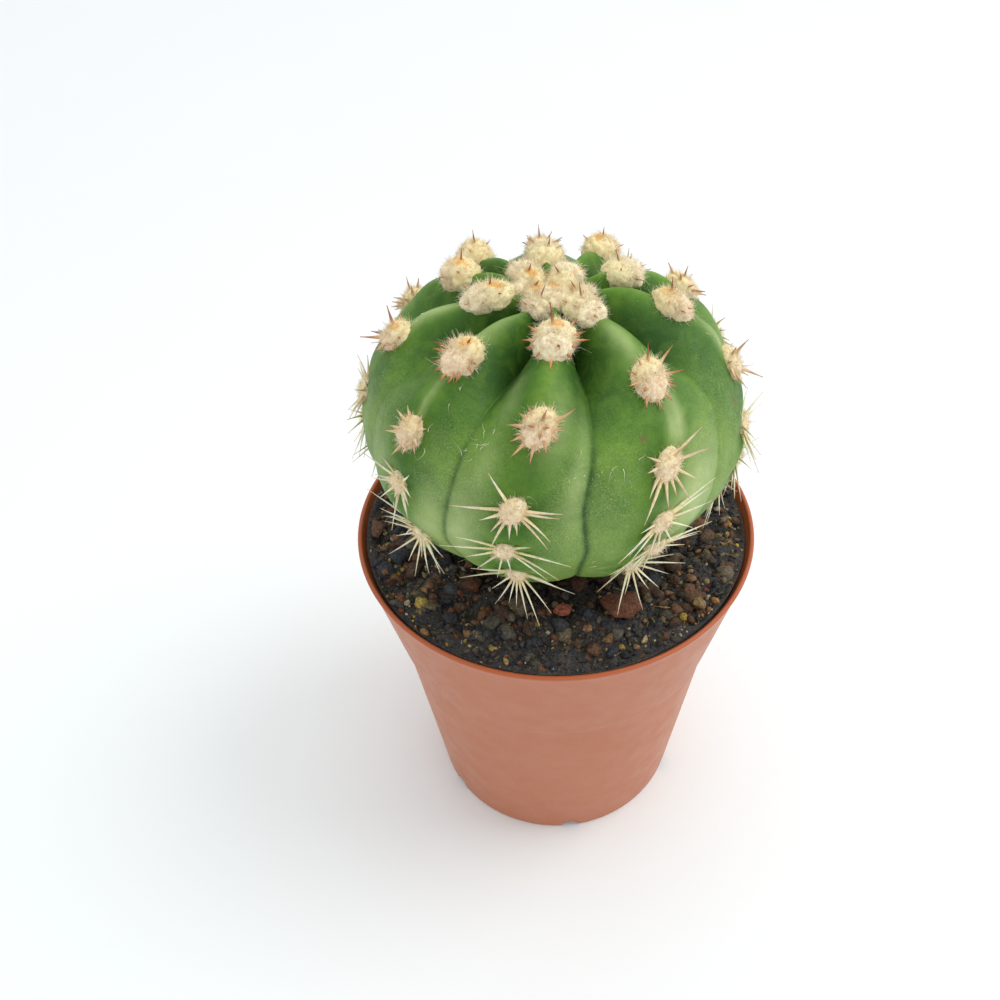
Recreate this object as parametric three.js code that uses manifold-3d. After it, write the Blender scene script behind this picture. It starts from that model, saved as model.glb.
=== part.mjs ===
// A round, ribbed cactus growing in a small tapered plastic nursery pot.
// Millimetres, +Z up, origin at the centre of the pot's underside. -Y is the front.
import * as THREE from "three";
import { mergeVertices } from "three/addons/utils/BufferGeometryUtils.js";
import Module from "manifold-3d";

const wasm = await Module();
wasm.setup();

// ---- driving dimensions -------------------------------------------------------------------

const CLEARANCE = 0.3; // between pieces that touch
const TURN = 2 * Math.PI;
const DEG = Math.PI / 180;

const POT = {
  height: 51.4,
  rimRadius: 27.5,
  collarFoot: 33.5, // height at which the wide collar begins
  collarFootRadius: 23.75,
  collarStep: 0.3, // how far the collar stands proud of the wall under it
  baseRadius: 19.4,
  wall: 0.8,
  footHeight: 1.8, // the floor is raised on a foot ring
  footWidth: 1.8,
  drains: 6,
  drainRadius: 1.4,
  firstDrainAzimuth: 6.7, // degrees to the right of the front
  segments: 36,
};

const SOIL = {
  edgeTop: 50.7, // the soil stops just under the rim
  crown: 0.3, // how much higher it lies around the plant
  roughness: 0.3,
  segments: 24,
};

const STEM = {
  centreHeight: 69.7,
  centreX: -0.3,
  radius: 24.2, // over the rib crests
  halfHeight: 19.4,
  neckRadius: 8.4,
  rootTip: 36,
  crownDip: 0.1, // share of the radius by which the growing point is sunken
  crownDipAngle: 13,
  shoulder: 0.04, // how much fuller the shoulders are than an ellipsoid's
  creaseDepth: 0.035, // furrow depth low on the flanks, as a share of the radius
  cleftDepth: 0.28, // furrow depth round the crown
  furrowShape: 1.9, // 1 would make the ribs' flanks straight, and more makes them rounder
  notchDepth: 0.03, // how far the crest dips at each areole
  undersideTuck: 0.04, // how much slimmer the underside is than an ellipsoid's
  crestStraightFrom: 100, // below this polar angle the crests run straight down
};

// Ribs, counted from the front anticlockwise as seen from above. top and flank are the azimuth
// of the crest in degrees near the crown and at the widest place. step is how far the rib's row
// of areoles is out of step with its neighbours, in areole spacings. furrow is how far round
// towards the next rib's crest the furrow after this rib lies, and lowFurrow the same on the
// underside where it differs.
const RIBS = [
  { top: 1, flank: -13, step: 0.36, furrow: 0.43, lowFurrow: 0.58 },
  { top: 46, flank: 28, step: -0.02, furrow: 0.5 },
  { top: 96, flank: 76, step: -0.25, furrow: 0.5 },
  { top: 123, flank: 112, step: 0.25, furrow: 0.5 },
  { top: 157, flank: 149, step: -0.2, furrow: 0.5 },
  { top: 187, flank: 182, step: 0.25, furrow: 0.5 },
  { top: 219, flank: 214, step: -0.15, furrow: 0.5 },
  { top: 241, flank: 240, step: -0.35, furrow: 0.5 },
  { top: 276, flank: 271, step: 0.3, furrow: 0.5 },
  { top: 315, flank: 311, step: -0.2, furrow: 0.47 },
];
const TOP_ANGLE = 20; // the polar angles at which top and flank hold
const FLANK_ANGLE = 90;
const AREOLES_PER_RIB = 5;

// Polar angle of the areoles along a rib in step, from the newest at the crown to the oldest.
const AREOLE_ANGLES = [15, 41, 66, 84.5, 97, 109];

// Areoles out of their row: degrees further down the rib, and how far round to the next furrow.
const STRAYS = {
  areole_1_2: { down: -2, across: 0 },
  areole_1_3: { down: 1.2, across: -0.06 },
  areole_1_4: { down: 2.5, across: 0 },
  areole_1_5: { down: 9, across: 0.15 },
  areole_2_4: { down: 1.5, across: 0.08 },
  areole_2_5: { down: 2.5, across: 0.2 },
  areole_3_4: { down: 2, across: 0 },
  areole_9_3: { down: 3, across: 0 },
  areole_10_2: { down: -1.3, across: 0 },
  areole_10_5: { down: 11, across: 0.3 },
};

// Half width, half length and height of the felt cushions, young and old.
const CUSHION = {
  young: [2.45, 2.75, 2.1],
  old: [1.35, 1.5, 1.0],
  youngUntil: 36, // polar angles between which they age
  oldFrom: 92,
  crowding: 0.85, // the newest are squeezed to this share of their width
  crown: [1.7, 1.7, 1.3], // the tuft of wool at the growing point
  lift: 0.1,
  segments: [8, 4],
};

const SPINES = {
  radial: 5,
  baseRadius: 0.34,
  sides: 3,
  reach: 27.8, // no tip lies further from the axis
  youngLength: 2.4,
  oldLength: 5.8,
  youngLean: 44, // degrees off the skin
  oldLean: 22,
  leanSpread: 8,
  centralLean: 62,
  raiseStep: 8, // degrees by which a blocked spine is raised, and the most
  mostRaised: 32,
};

// ---- helpers ------------------------------------------------------------------------------

const mix = (a, b, t) => a + (b - a) * t;
const clamp01 = (t) => Math.min(1, Math.max(0, t));
const smooth = (t) => clamp01(t) ** 2 * (3 - 2 * clamp01(t));

// A value along a list of equally spaced samples, carried on past both ends.
function along(samples, s) {
  const i = Math.min(samples.length - 2, Math.max(0, Math.floor(s)));
  return mix(samples[i], samples[i + 1], s - i);
}

// A repeatable random sequence from 0 to 1.
function sequence(seed) {
  let state = seed;
  return () => {
    state = (state * 1664525 + 1013904223) % 4294967296;
    return state / 4294967296;
  };
}

function toSolid(geometry) {
  const bare = geometry.clone();
  bare.deleteAttribute("normal");
  bare.deleteAttribute("uv");
  const merged = mergeVertices(bare, 1e-4);
  return new wasm.Manifold(
    new wasm.Mesh({
      numProp: 3,
      vertProperties: new Float32Array(merged.attributes.position.array),
      triVerts: new Uint32Array(merged.index.array),
    }),
  );
}

function toGeometry(solid) {
  const mesh = solid.getMesh();
  const geometry = new THREE.BufferGeometry();
  geometry.setAttribute("position", new THREE.BufferAttribute(mesh.vertProperties, 3));
  geometry.setIndex(new THREE.BufferAttribute(mesh.triVerts, 1));
  geometry.computeVertexNormals();
  return geometry;
}

// Turns a profile of [radius, height] pairs about the Z axis.
function turned(profile, segments) {
  const points = profile.map(([r, z]) => new THREE.Vector2(r, z));
  return new THREE.LatheGeometry(points, segments).rotateX(Math.PI / 2);
}

// ---- pot ----------------------------------------------------------------------------------

// Outside radius of the pot's wall at a height.
function potRadius(z) {
  if (z < POT.collarFoot) {
    return mix(POT.baseRadius, POT.collarFootRadius - POT.collarStep, z / POT.collarFoot);
  }
  const t = (z - POT.collarFoot) / (POT.height - POT.collarFoot);
  return mix(POT.collarFootRadius, POT.rimRadius, t);
}

function potGeometry() {
  const floor = POT.footHeight + POT.wall;
  const foot = POT.baseRadius - POT.footWidth;
  const edge = 0.25; // rounding of the lip and the foot
  const inner = (z) => potRadius(z) - POT.wall;
  const body = toSolid(
    turned(
      [
        [0, POT.footHeight],
        [foot - edge, POT.footHeight],
        [foot, 0],
        [POT.baseRadius - edge, 0],
        [potRadius(edge), edge],
        [potRadius(POT.collarFoot - 0.01), POT.collarFoot - edge],
        [POT.collarFootRadius, POT.collarFoot + edge],
        [potRadius(POT.height - edge), POT.height - edge],
        [POT.rimRadius - edge, POT.height],
        [inner(POT.height) + edge, POT.height],
        [inner(POT.height - edge), POT.height - edge],
        [inner(POT.collarFoot + 1), POT.collarFoot + 1],
        [inner(POT.collarFoot - 1), POT.collarFoot - 1],
        [inner(floor + 1), floor + 1],
        [inner(floor) - 1, floor],
        [0, floor],
      ],
      POT.segments,
    ),
  );
  return toGeometry(body.subtract(drains()));
}

// Each drain is a round hole down through the floor beside the foot ring, and an arch that
// carries the water out under the ring.
function drains() {
  const holeRadius = POT.baseRadius - POT.footWidth - POT.drainRadius - 0.6;
  const archLength = POT.footWidth + 2 * POT.drainRadius + 2;
  const hole = new THREE.CylinderGeometry(POT.drainRadius, POT.drainRadius, 8, 16)
    .rotateX(Math.PI / 2)
    .translate(0, -holeRadius, 0);
  const arch = new THREE.CylinderGeometry(POT.drainRadius, POT.drainRadius, archLength, 16)
    .translate(0, -holeRadius - archLength / 2, POT.footHeight - POT.drainRadius);
  const one = toSolid(hole).add(toSolid(arch));
  let all = null;
  for (let i = 0; i < POT.drains; i++) {
    const turnedOne = one.rotate([0, 0, POT.firstDrainAzimuth + (360 * i) / POT.drains]);
    all = all ? all.add(turnedOne) : turnedOne;
  }
  return all;
}

// ---- cactus stem --------------------------------------------------------------------------

const ribAt = (index) => RIBS[((index % RIBS.length) + RIBS.length) % RIBS.length];

// Azimuth of a rib's crest, and of the furrow after it, at a polar angle. All in degrees.
function crestAzimuth(index, theta) {
  const rib = ribAt(index);
  const down = (Math.min(theta, STEM.crestStraightFrom) - TOP_ANGLE) / (FLANK_ANGLE - TOP_ANGLE);
  return mix(rib.top, rib.flank, down) + 360 * Math.floor(index / RIBS.length);
}
function furrowAzimuth(index, theta) {
  const [crest, next] = [crestAzimuth(index, theta), crestAzimuth(index + 1, theta)];
  const { furrow, lowFurrow = furrow } = ribAt(index);
  return mix(crest, next, mix(furrow, lowFurrow, smooth((theta - 70) / 30)));
}

// How deep the furrows are at a polar angle, as a share of the body's radius: deep clefts
// round the crown, and hardly more than a crease low on the flanks.
function furrowDepth(theta) {
  return smooth(theta / 18) * mix(STEM.cleftDepth, STEM.creaseDepth, smooth((theta - 20) / 42));
}

// A point on the stem's skin. across runs from -1 in one furrow over 0 on the crest to 1 in
// the next. theta is the polar angle from the crown.
function stemPoint(index, across, theta) {
  const furrow = furrowAzimuth(across < 0 ? index - 1 : index, theta);
  const azimuth = mix(crestAzimuth(index, theta), furrow, Math.abs(across)) * DEG;
  const dip = STEM.crownDip * Math.exp(-((theta / STEM.crownDipAngle) ** 2));
  const shoulder = theta < 90 ? STEM.shoulder * Math.sin(2 * theta * DEG) ** 2 : 0;
  const share = Math.abs(across);
  const notch = STEM.notchDepth * crenation(theta, ribAt(index).step) * (1 - share) ** 2;
  const furrowed = furrowDepth(theta) * share ** STEM.furrowShape;
  const tuck = STEM.undersideTuck * smooth((theta - 88) / 25);
  const scale = 1 + shoulder - dip - notch - furrowed - tuck;
  const r = STEM.radius * Math.sin(theta * DEG) * scale;
  return new THREE.Vector3(
    STEM.centreX + r * Math.sin(azimuth),
    -r * Math.cos(azimuth),
    STEM.centreHeight + STEM.halfHeight * Math.cos(theta * DEG) * scale,
  );
}

// 1 at each areole and 0 midway between two, along a crest.
function crenation(theta, step) {
  let steps = 0;
  while (steps < AREOLE_ANGLES.length - 2 && theta > AREOLE_ANGLES[steps + 1]) steps++;
  const low = AREOLE_ANGLES[steps];
  const s = steps + (theta - low) / (AREOLE_ANGLES[steps + 1] - low) - step;
  return s < -0.5 ? 0 : (0.5 + 0.5 * Math.cos(TURN * s)) * smooth((112 - theta) / 12);
}

const areoleName = (rib, number) => `areole_${rib + 1}_${number + 1}`;

function strayOf(rib, number) {
  return STRAYS[areoleName(rib, number)] ?? { down: 0, across: 0 };
}

function areoleAngle(rib, number) {
  return along(AREOLE_ANGLES, number + RIBS[rib].step) + strayOf(rib, number).down;
}

// Position, outward normal, downward tangent and sideways direction of an areole.
function areoleFrame(rib, number) {
  const theta = areoleAngle(rib, number);
  const { across } = strayOf(rib, number);
  const at = stemPoint(rib, across, theta);
  const above = stemPoint(rib, across, theta - 6);
  const down = stemPoint(rib, across, theta + 6).sub(above).normalize();
  const azimuth = Math.atan2(at.x - STEM.centreX, -at.y);
  const side = new THREE.Vector3(Math.cos(azimuth), Math.sin(azimuth), 0);
  const out = new THREE.Vector3().crossVectors(down, side).normalize();
  return { theta, at, down, side, out };
}

const NECK = [
  [11.2, 53.4],
  [9.3, 52.5],
  [STEM.neckRadius, 51.6],
  [STEM.neckRadius - 0.7, 46],
  [5.5, 41],
  [2.6, 37.6],
];

function stemGeometry() {
  const acrossSteps = 6;
  const angles = [5, 11, 17, 24, 31, 38, 46, 54, 62, 70, 78, 86, 94, 103, 114, 126, 137, 145];
  const rings = angles.map((theta) => {
    const ring = [];
    for (let rib = 0; rib < RIBS.length; rib++) {
      for (let i = 0; i < acrossSteps; i++) {
        ring.push(stemPoint(rib, (2 * i) / acrossSteps - 1, theta));
      }
    }
    return ring;
  });
  const last = rings[rings.length - 1];
  for (const [r, z] of NECK) {
    rings.push(
      last.map((p) => {
        const azimuth = Math.atan2(p.y, p.x);
        return new THREE.Vector3(r * Math.cos(azimuth), r * Math.sin(azimuth), z);
      }),
    );
  }
  const crown = stemPoint(0, 0, 0);
  return skin(crown, rings, new THREE.Vector3(0, 0, STEM.rootTip));
}

// A closed skin from a top point down through rings of points to a bottom point.
function skin(top, rings, bottom) {
  const count = rings[0].length;
  const points = [top, ...rings.flat(), bottom];
  const faces = [];
  const vertex = (ring, i) => 1 + ring * count + (i % count);
  for (let i = 0; i < count; i++) {
    faces.push(0, vertex(0, i), vertex(0, i + 1));
    faces.push(points.length - 1, vertex(rings.length - 1, i + 1), vertex(rings.length - 1, i));
    for (let ring = 0; ring + 1 < rings.length; ring++) {
      const [a, b] = [vertex(ring, i), vertex(ring, i + 1)];
      const [c, d] = [vertex(ring + 1, i), vertex(ring + 1, i + 1)];
      faces.push(a, c, d, a, d, b);
    }
  }
  const geometry = new THREE.BufferGeometry().setFromPoints(points);
  geometry.setIndex(faces);
  geometry.computeVertexNormals();
  return geometry;
}

// ---- areoles: a cushion of felt with its spines -------------------------------------------

// Half width, half length and height of a cushion. Young ones are the largest.
function cushionSize(rib, number) {
  const span = CUSHION.oldFrom - CUSHION.youngUntil;
  const age = clamp01((areoleAngle(rib, number) - CUSHION.youngUntil) / span);
  const crowded = number === 0 ? CUSHION.crowding : 1;
  const [width, length, height] = CUSHION.young.map((young, i) => mix(young, CUSHION.old[i], age));
  return new THREE.Vector3(width * crowded, length * crowded, height);
}

function placed(geometry, frame, lift) {
  const basis = new THREE.Matrix4().makeBasis(frame.side, frame.down.clone().negate(), frame.out);
  basis.setPosition(frame.at.clone().addScaledVector(frame.out, lift));
  return geometry.applyMatrix4(basis);
}

function cushion(frame, size, grow) {
  const ball = new THREE.SphereGeometry(1, ...CUSHION.segments).rotateX(Math.PI / 2);
  ball.scale(size.x + grow, size.y + grow, size.z + grow);
  return toSolid(placed(ball, frame, CUSHION.lift));
}

// One spine, from inside the cushion to its tip. turn runs round the areole from the upward
// direction, and lean is how far it stands off the skin.
function spine(frame, size, length, turn, lean, radius) {
  const direction = frame.down
    .clone()
    .multiplyScalar(-Math.cos(turn) * Math.cos(lean))
    .addScaledVector(frame.side, Math.sin(turn) * Math.cos(lean))
    .addScaledVector(frame.out, Math.sin(lean));
  const root = frame.at
    .clone()
    .addScaledVector(frame.out, size.z * 0.35)
    .addScaledVector(direction, Math.min(size.x, size.y) * 0.45);
  const room = SPINES.reach - Math.hypot(root.x, root.y);
  const outward = (direction.x * root.x + direction.y * root.y) / Math.hypot(root.x, root.y);
  const fitted = outward * length > room ? room / outward : length;
  const cone = new THREE.ConeGeometry(radius, fitted, SPINES.sides).translate(0, fitted / 2, 0);
  const swing = new THREE.Quaternion().setFromUnitVectors(new THREE.Vector3(0, 1, 0), direction);
  return toSolid(cone.applyQuaternion(swing).translate(root.x, root.y, root.z));
}

// A cushion is pressed back where it meets one that was there before it, and its spines are
// turned away from every obstacle.
function areoleSolid(rib, number, elders, obstacles) {
  const frame = areoleFrame(rib, number);
  const size = cushionSize(rib, number);
  const random = sequence(97 * rib + 13 * number + 5);
  const age = clamp01((frame.theta - 25) / 65);
  let solid = elders.reduce((felt, elder) => felt.subtract(elder), cushion(frame, size, 0));
  const first = random() * TURN;
  for (let i = 0; i <= SPINES.radial; i++) {
    const central = i === SPINES.radial;
    const round = first + ((i + 0.3 * random()) * TURN) / SPINES.radial;
    const turn = central ? 0.5 * (random() - 0.5) : round;
    const spread = mix(SPINES.youngLean, SPINES.oldLean, age) + SPINES.leanSpread * random();
    const lean = central ? SPINES.centralLean : spread;
    const share = central ? 0.9 : 0.8 + 0.35 * random();
    const length = mix(SPINES.youngLength, SPINES.oldLength, age) * share;
    // A spine that would run into something stands up further until it is clear.
    for (let raise = 0; raise <= SPINES.mostRaised; raise += SPINES.raiseStep) {
      const angle = (lean + raise) * DEG;
      const probe = spine(frame, size, length, turn, angle, SPINES.baseRadius + CLEARANCE);
      if (obstacles.some((other) => !probe.intersect(other).isEmpty())) continue;
      solid = solid.add(spine(frame, size, length, turn, angle, SPINES.baseRadius));
      break;
    }
  }
  return solid;
}

// ---- soil and grit ------------------------------------------------------------------------

function soilHeight(x, y) {
  const r = Math.hypot(x, y);
  const azimuth = Math.atan2(y, x);
  const waves = Math.sin(3 * azimuth + 0.4 * r) + Math.sin(5 * azimuth - 0.3 * r);
  const mound = SOIL.crown * smooth((26 - r) / 14);
  return SOIL.edgeTop + mound + 0.5 * SOIL.roughness * waves;
}

function soilGeometry() {
  const bottom = POT.footHeight + POT.wall + CLEARANCE;
  const inner = (z) => potRadius(z) - POT.wall - CLEARANCE;
  const topRadii = [22.5, 19, 15, 11.5];
  const well = NECK.filter(([, z]) => z < SOIL.edgeTop + SOIL.crown)
    .map(([r, z]) => [r + CLEARANCE + 0.1, z]);
  const mouth = STEM.neckRadius + CLEARANCE + 0.1;
  const geometry = turned(
    [
      [0, bottom],
      [inner(bottom) - 1.2, bottom],
      [inner(bottom + 1.4), bottom + 1.4],
      [inner(POT.collarFoot - 1.4), POT.collarFoot - 1.4],
      [inner(POT.collarFoot + 1.4), POT.collarFoot + 1.4],
      [inner(SOIL.edgeTop) - 0.2, SOIL.edgeTop],
      ...topRadii.map((r) => [r, SOIL.edgeTop]),
      [mouth, SOIL.edgeTop],
      ...well,
      [0, STEM.rootTip - CLEARANCE - 0.2],
    ],
    SOIL.segments,
  );
  const position = geometry.attributes.position;
  for (let i = 0; i < position.count; i++) {
    const [x, y, z] = [position.getX(i), position.getY(i), position.getZ(i)];
    if (Math.abs(z - SOIL.edgeTop) < 1e-3) position.setZ(i, soilHeight(x, y));
  }
  return geometry;
}

// The largest loose chips on the soil: azimuth and distance from the middle, and size.
const CHIPS = [
  { name: "lava_chip", azimuth: 28, r: 18.2, size: [2.2, 2.6, 1.1], color: 0x6e4232 },
  { name: "clay_pebble", azimuth: 2.5, r: 17.1, size: [1.1, 0.9, 0.8], color: 0x8a4a3a },
  { name: "pumice_chip", azimuth: 49, r: 24.4, size: [0.9, 0.8, 0.7], color: 0xa48c5c },
  { name: "bark_chip", azimuth: -41, r: 16.6, size: [1.8, 1.0, 0.7], color: 0x6b4632 },
  { name: "sandstone_chip", azimuth: -48, r: 23.4, size: [0.9, 0.8, 0.7], color: 0xb8a050 },
];

function chipGeometry(chip, seed) {
  const random = sequence(seed);
  const geometry = new THREE.IcosahedronGeometry(1, 1);
  const merged = mergeVertices(stripped(geometry), 1e-4);
  const position = merged.attributes.position;
  for (let i = 0; i < position.count; i++) {
    const grow = 0.82 + 0.18 * random();
    position.setXYZ(i, position.getX(i) * grow, position.getY(i) * grow, position.getZ(i) * grow);
  }
  const azimuth = chip.azimuth * DEG;
  const [x, y] = [chip.r * Math.sin(azimuth), -chip.r * Math.cos(azimuth)];
  const rest = soilHeight(x, y) + SOIL.roughness + CLEARANCE + chip.size[2];
  return merged.scale(...chip.size).rotateZ(azimuth * 3).translate(x, y, rest);
}

function stripped(geometry) {
  geometry.deleteAttribute("normal");
  geometry.deleteAttribute("uv");
  return geometry;
}

// ---- assembly -----------------------------------------------------------------------------

const MATERIALS = {
  pot: new THREE.MeshStandardMaterial({ color: 0xb8704f, roughness: 0.5, metalness: 0 }),
  soil: new THREE.MeshStandardMaterial({ color: 0x2c2620, roughness: 1, metalness: 0 }),
  stem: new THREE.MeshStandardMaterial({ color: 0x4c8a3c, roughness: 0.45, metalness: 0 }),
  wool: new THREE.MeshStandardMaterial({ color: 0xe6cfae, roughness: 0.95, metalness: 0 }),
};

const plant = new THREE.Group();

function addPiece(name, geometry, material) {
  const mesh = new THREE.Mesh(geometry, material);
  mesh.name = name;
  plant.add(mesh);
}

function addAreoles() {
  let stem = toSolid(stemGeometry());
  const crownFrame = {
    at: stemPoint(0, 0, 0),
    down: new THREE.Vector3(0, -1, 0),
    side: new THREE.Vector3(1, 0, 0),
    out: new THREE.Vector3(0, 0, 1),
  };
  const crownSize = new THREE.Vector3(...CUSHION.crown);
  const clusters = [
    {
      at: crownFrame.at,
      guard: cushion(crownFrame, crownSize, CLEARANCE),
      solid: cushion(crownFrame, crownSize, 0),
    },
  ];
  addPiece("crown_wool", toGeometry(clusters[0].solid), MATERIALS.wool);
  for (let number = 0; number < AREOLES_PER_RIB; number++) {
    for (let rib = 0; rib < RIBS.length; rib++) {
      const frame = areoleFrame(rib, number);
      const guard = cushion(frame, cushionSize(rib, number), CLEARANCE);
      clusters.push({ rib, number, at: frame.at, guard });
    }
  }
  for (const cluster of clusters) stem = stem.subtract(cluster.guard);

  const reach = 17; // no two clusters further apart than this can meet
  clusters.forEach((cluster, order) => {
    if (cluster.solid) return;
    const isNear = (other) => other !== cluster && other.at.distanceTo(cluster.at) < reach;
    const elders = clusters.slice(0, order).filter(isNear).map((other) => other.guard);
    const others = clusters.filter(isNear).map((other) => other.solid ?? other.guard);
    const { rib, number } = cluster;
    cluster.solid = areoleSolid(rib, number, elders, [stem, ...others]);
    addPiece(areoleName(rib, number), toGeometry(cluster.solid), MATERIALS.wool);
  });
  addPiece("cactus_stem", toGeometry(stem), MATERIALS.stem);
}

addPiece("pot", potGeometry(), MATERIALS.pot);
addPiece("soil", soilGeometry(), MATERIALS.soil);
addAreoles();
CHIPS.forEach((chip, i) => {
  const material = new THREE.MeshStandardMaterial({ color: chip.color, roughness: 0.9 });
  addPiece(chip.name, chipGeometry(chip, 31 + i), material);
});

export default plant;
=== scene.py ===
# A round ribbed cactus in a small plastic nursery pot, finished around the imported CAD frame.
# Lengths are written in millimetres and turned into metres by MM. -Y is the front.
import math
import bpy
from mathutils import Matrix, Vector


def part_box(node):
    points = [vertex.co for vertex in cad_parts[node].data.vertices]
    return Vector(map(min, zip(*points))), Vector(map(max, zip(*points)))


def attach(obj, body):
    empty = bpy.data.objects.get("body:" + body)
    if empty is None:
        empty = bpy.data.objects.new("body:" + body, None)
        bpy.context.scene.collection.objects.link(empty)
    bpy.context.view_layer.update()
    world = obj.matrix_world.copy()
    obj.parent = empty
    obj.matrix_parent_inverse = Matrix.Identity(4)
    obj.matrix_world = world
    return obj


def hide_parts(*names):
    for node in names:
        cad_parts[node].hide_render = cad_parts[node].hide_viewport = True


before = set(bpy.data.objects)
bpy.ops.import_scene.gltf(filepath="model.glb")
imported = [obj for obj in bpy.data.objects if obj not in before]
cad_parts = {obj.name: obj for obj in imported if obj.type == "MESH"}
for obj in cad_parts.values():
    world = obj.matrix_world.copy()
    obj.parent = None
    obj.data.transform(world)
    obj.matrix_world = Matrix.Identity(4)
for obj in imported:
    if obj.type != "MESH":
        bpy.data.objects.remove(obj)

from types import SimpleNamespace

import bmesh
import bpy
import numpy as np
from mathutils import Vector, noise

MM = 0.001
DEG = math.pi / 180
TURN = 2 * math.pi
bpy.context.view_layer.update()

# ---- sizes of the real thing

POT = SimpleNamespace(
    height=51.4, rim_radius=27.5, collar_foot=33.5, collar_foot_radius=23.75, collar_step=0.3,
    base_radius=19.4, wall=0.8, foot_height=1.8, foot_width=1.8, drains=6, drain_radius=1.4,
    first_drain=6.7, lip=0.32, segments=288,
)
SOIL = SimpleNamespace(edge_top=50.7, crown=0.3, bottom=2.8, neck_gap=9.2, segments=200, rows=80)
STEM = SimpleNamespace(
    centre_x=-0.3, centre_height=69.7, radius=24.2, half_height=19.4, crown_dip=0.1,
    crown_dip_angle=13.0, shoulder=0.04, crease_depth=0.035, cleft_depth=0.31,
    underside_tuck=0.04, notch_depth=0.03, line_depth=0.007, root_tip=36.0,
)
STEM_CENTRE = np.array([STEM.centre_x, 0.0, STEM.centre_height])
# Crest azimuth near the crown and at the widest place, in degrees from the front; how far the
# row of areoles is out of step; how far round towards the next crest the furrow lies, on the
# flank and on the underside.
RIBS = [
    (1, -13, 0.36, 0.43, 0.58),
    (46, 28, -0.02, 0.5, 0.5),
    (96, 76, -0.25, 0.5, 0.5),
    (123, 112, 0.25, 0.5, 0.5),
    (157, 149, -0.2, 0.5, 0.5),
    (187, 182, 0.25, 0.5, 0.5),
    (219, 214, -0.15, 0.5, 0.5),
    (241, 240, -0.35, 0.5, 0.5),
    (276, 271, 0.3, 0.5, 0.5),
    (315, 311, -0.2, 0.47, 0.47),
]
TOP_ANGLE, FLANK_ANGLE = 20.0, 90.0
RIB_END, NECK_ANGLE = 142, 150  # where the ribs' surface ends, and what the neck counts as
AREOLE_ANGLES = [15.0, 41.0, 66.0, 84.5, 97.0, 109.0]
CAD_AREOLES = 5  # per rib; the sixth one is only in this model
LOWEST_AREOLE = 109.0  # a rib whose sixth areole would lie lower has none
# Areoles out of their row: degrees further down the rib, and how far round to the next furrow.
STRAYS = {
    (1, 2): (-2.0, 0.0), (1, 3): (1.2, -0.06), (1, 4): (2.5, 0.0), (1, 5): (9.0, 0.15),
    (2, 4): (1.5, 0.08), (2, 5): (2.5, 0.2), (2, 6): (5.5, 0.05), (3, 4): (2.0, 0.0),
    (9, 3): (3.0, 0.0), (10, 2): (-1.3, 0.0), (10, 5): (11.0, 0.3),
}
# How plainly the line in the furrow after each rib shows; the others are faint.
FURROW_LINES = {1: 1.0, 2: 0.0, 9: 0.0, 10: 0.75}
FAINT_LINE = 0.2


# ---- small helpers

def mix(a, b, t):
    return a + (b - a) * t


def clamp01(t):
    return min(1.0, max(0.0, t))


def smooth(t):
    t = np.clip(t, 0.0, 1.0)
    return t * t * (3 - 2 * t)


def srgb(r, g, b):
    """A colour given as 0 to 255 on screen, as linear RGBA."""
    c = np.array([r, g, b]) / 255
    return np.append(np.where(c <= 0.04045, c / 12.92, ((c + 0.055) / 1.055) ** 2.4), 1.0)


def shades(*colours):
    return np.array([srgb(*c) for c in colours])


def unit(v):
    return v / np.maximum(np.linalg.norm(v, axis=-1, keepdims=True), 1e-12)


def soft_noise(points, scale, seed=0.0):
    """Smooth noise from -1 to 1 at each point, with features about scale mm across."""
    offset = Vector((seed * 3.7, seed * 1.9, seed * 5.3))
    return np.array([noise.noise(Vector(p) / scale + offset) for p in points])


# ---- meshes

def make_mesh(name, points, faces, colours=None, values=None):
    """A smooth mesh from points in mm and an array (or a list of arrays) of equal-sided faces."""
    groups = faces if isinstance(faces, list) else [faces]
    groups = [np.asarray(g, int) for g in groups if len(g)]
    mesh = bpy.data.meshes.new(name)
    corners = np.concatenate([g.ravel() for g in groups])
    sides = np.concatenate([np.full(len(g), g.shape[1]) for g in groups])
    starts = np.concatenate([[0], np.cumsum(sides)[:-1]])
    mesh.vertices.add(len(points))
    mesh.vertices.foreach_set("co", (np.asarray(points, float) * MM).ravel())
    mesh.loops.add(len(corners))
    mesh.loops.foreach_set("vertex_index", corners)
    mesh.polygons.add(len(sides))
    mesh.polygons.foreach_set("loop_start", starts)
    mesh.polygons.foreach_set("loop_total", sides)
    mesh.polygons.foreach_set("use_smooth", np.ones(len(sides), bool))
    mesh.update(calc_edges=True)
    mesh.validate()
    if colours is not None:
        layer = mesh.color_attributes.new("tint", "FLOAT_COLOR", "POINT")
        rgba = np.ones((len(points), 4))
        rgba[:, :3] = np.asarray(colours)[:, :3]
        layer.data.foreach_set("color", rgba.ravel())
    for key, numbers in (values or {}).items():
        layer = mesh.attributes.new(key, "FLOAT", "POINT")
        layer.data.foreach_set("value", np.asarray(numbers, float))
    return mesh


def new_object(name, data):
    thing = bpy.data.objects.new(name, data)
    bpy.context.scene.collection.objects.link(thing)
    return thing


def add_piece(mesh, material, replaces=()):
    piece = new_object(mesh.name, mesh)
    mesh.materials.append(material)
    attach(piece, "root")
    if replaces:
        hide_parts(*replaces)
    return piece


def ring_faces(rows, columns):
    """Quads between neighbouring rings of points, ring by ring."""
    r, c = np.meshgrid(np.arange(rows - 1), np.arange(columns), indexing="ij")
    n = (c + 1) % columns
    a, b = r * columns + c, r * columns + n
    return np.stack([a, a + columns, b + columns, b], axis=-1).reshape(-1, 4)


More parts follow.
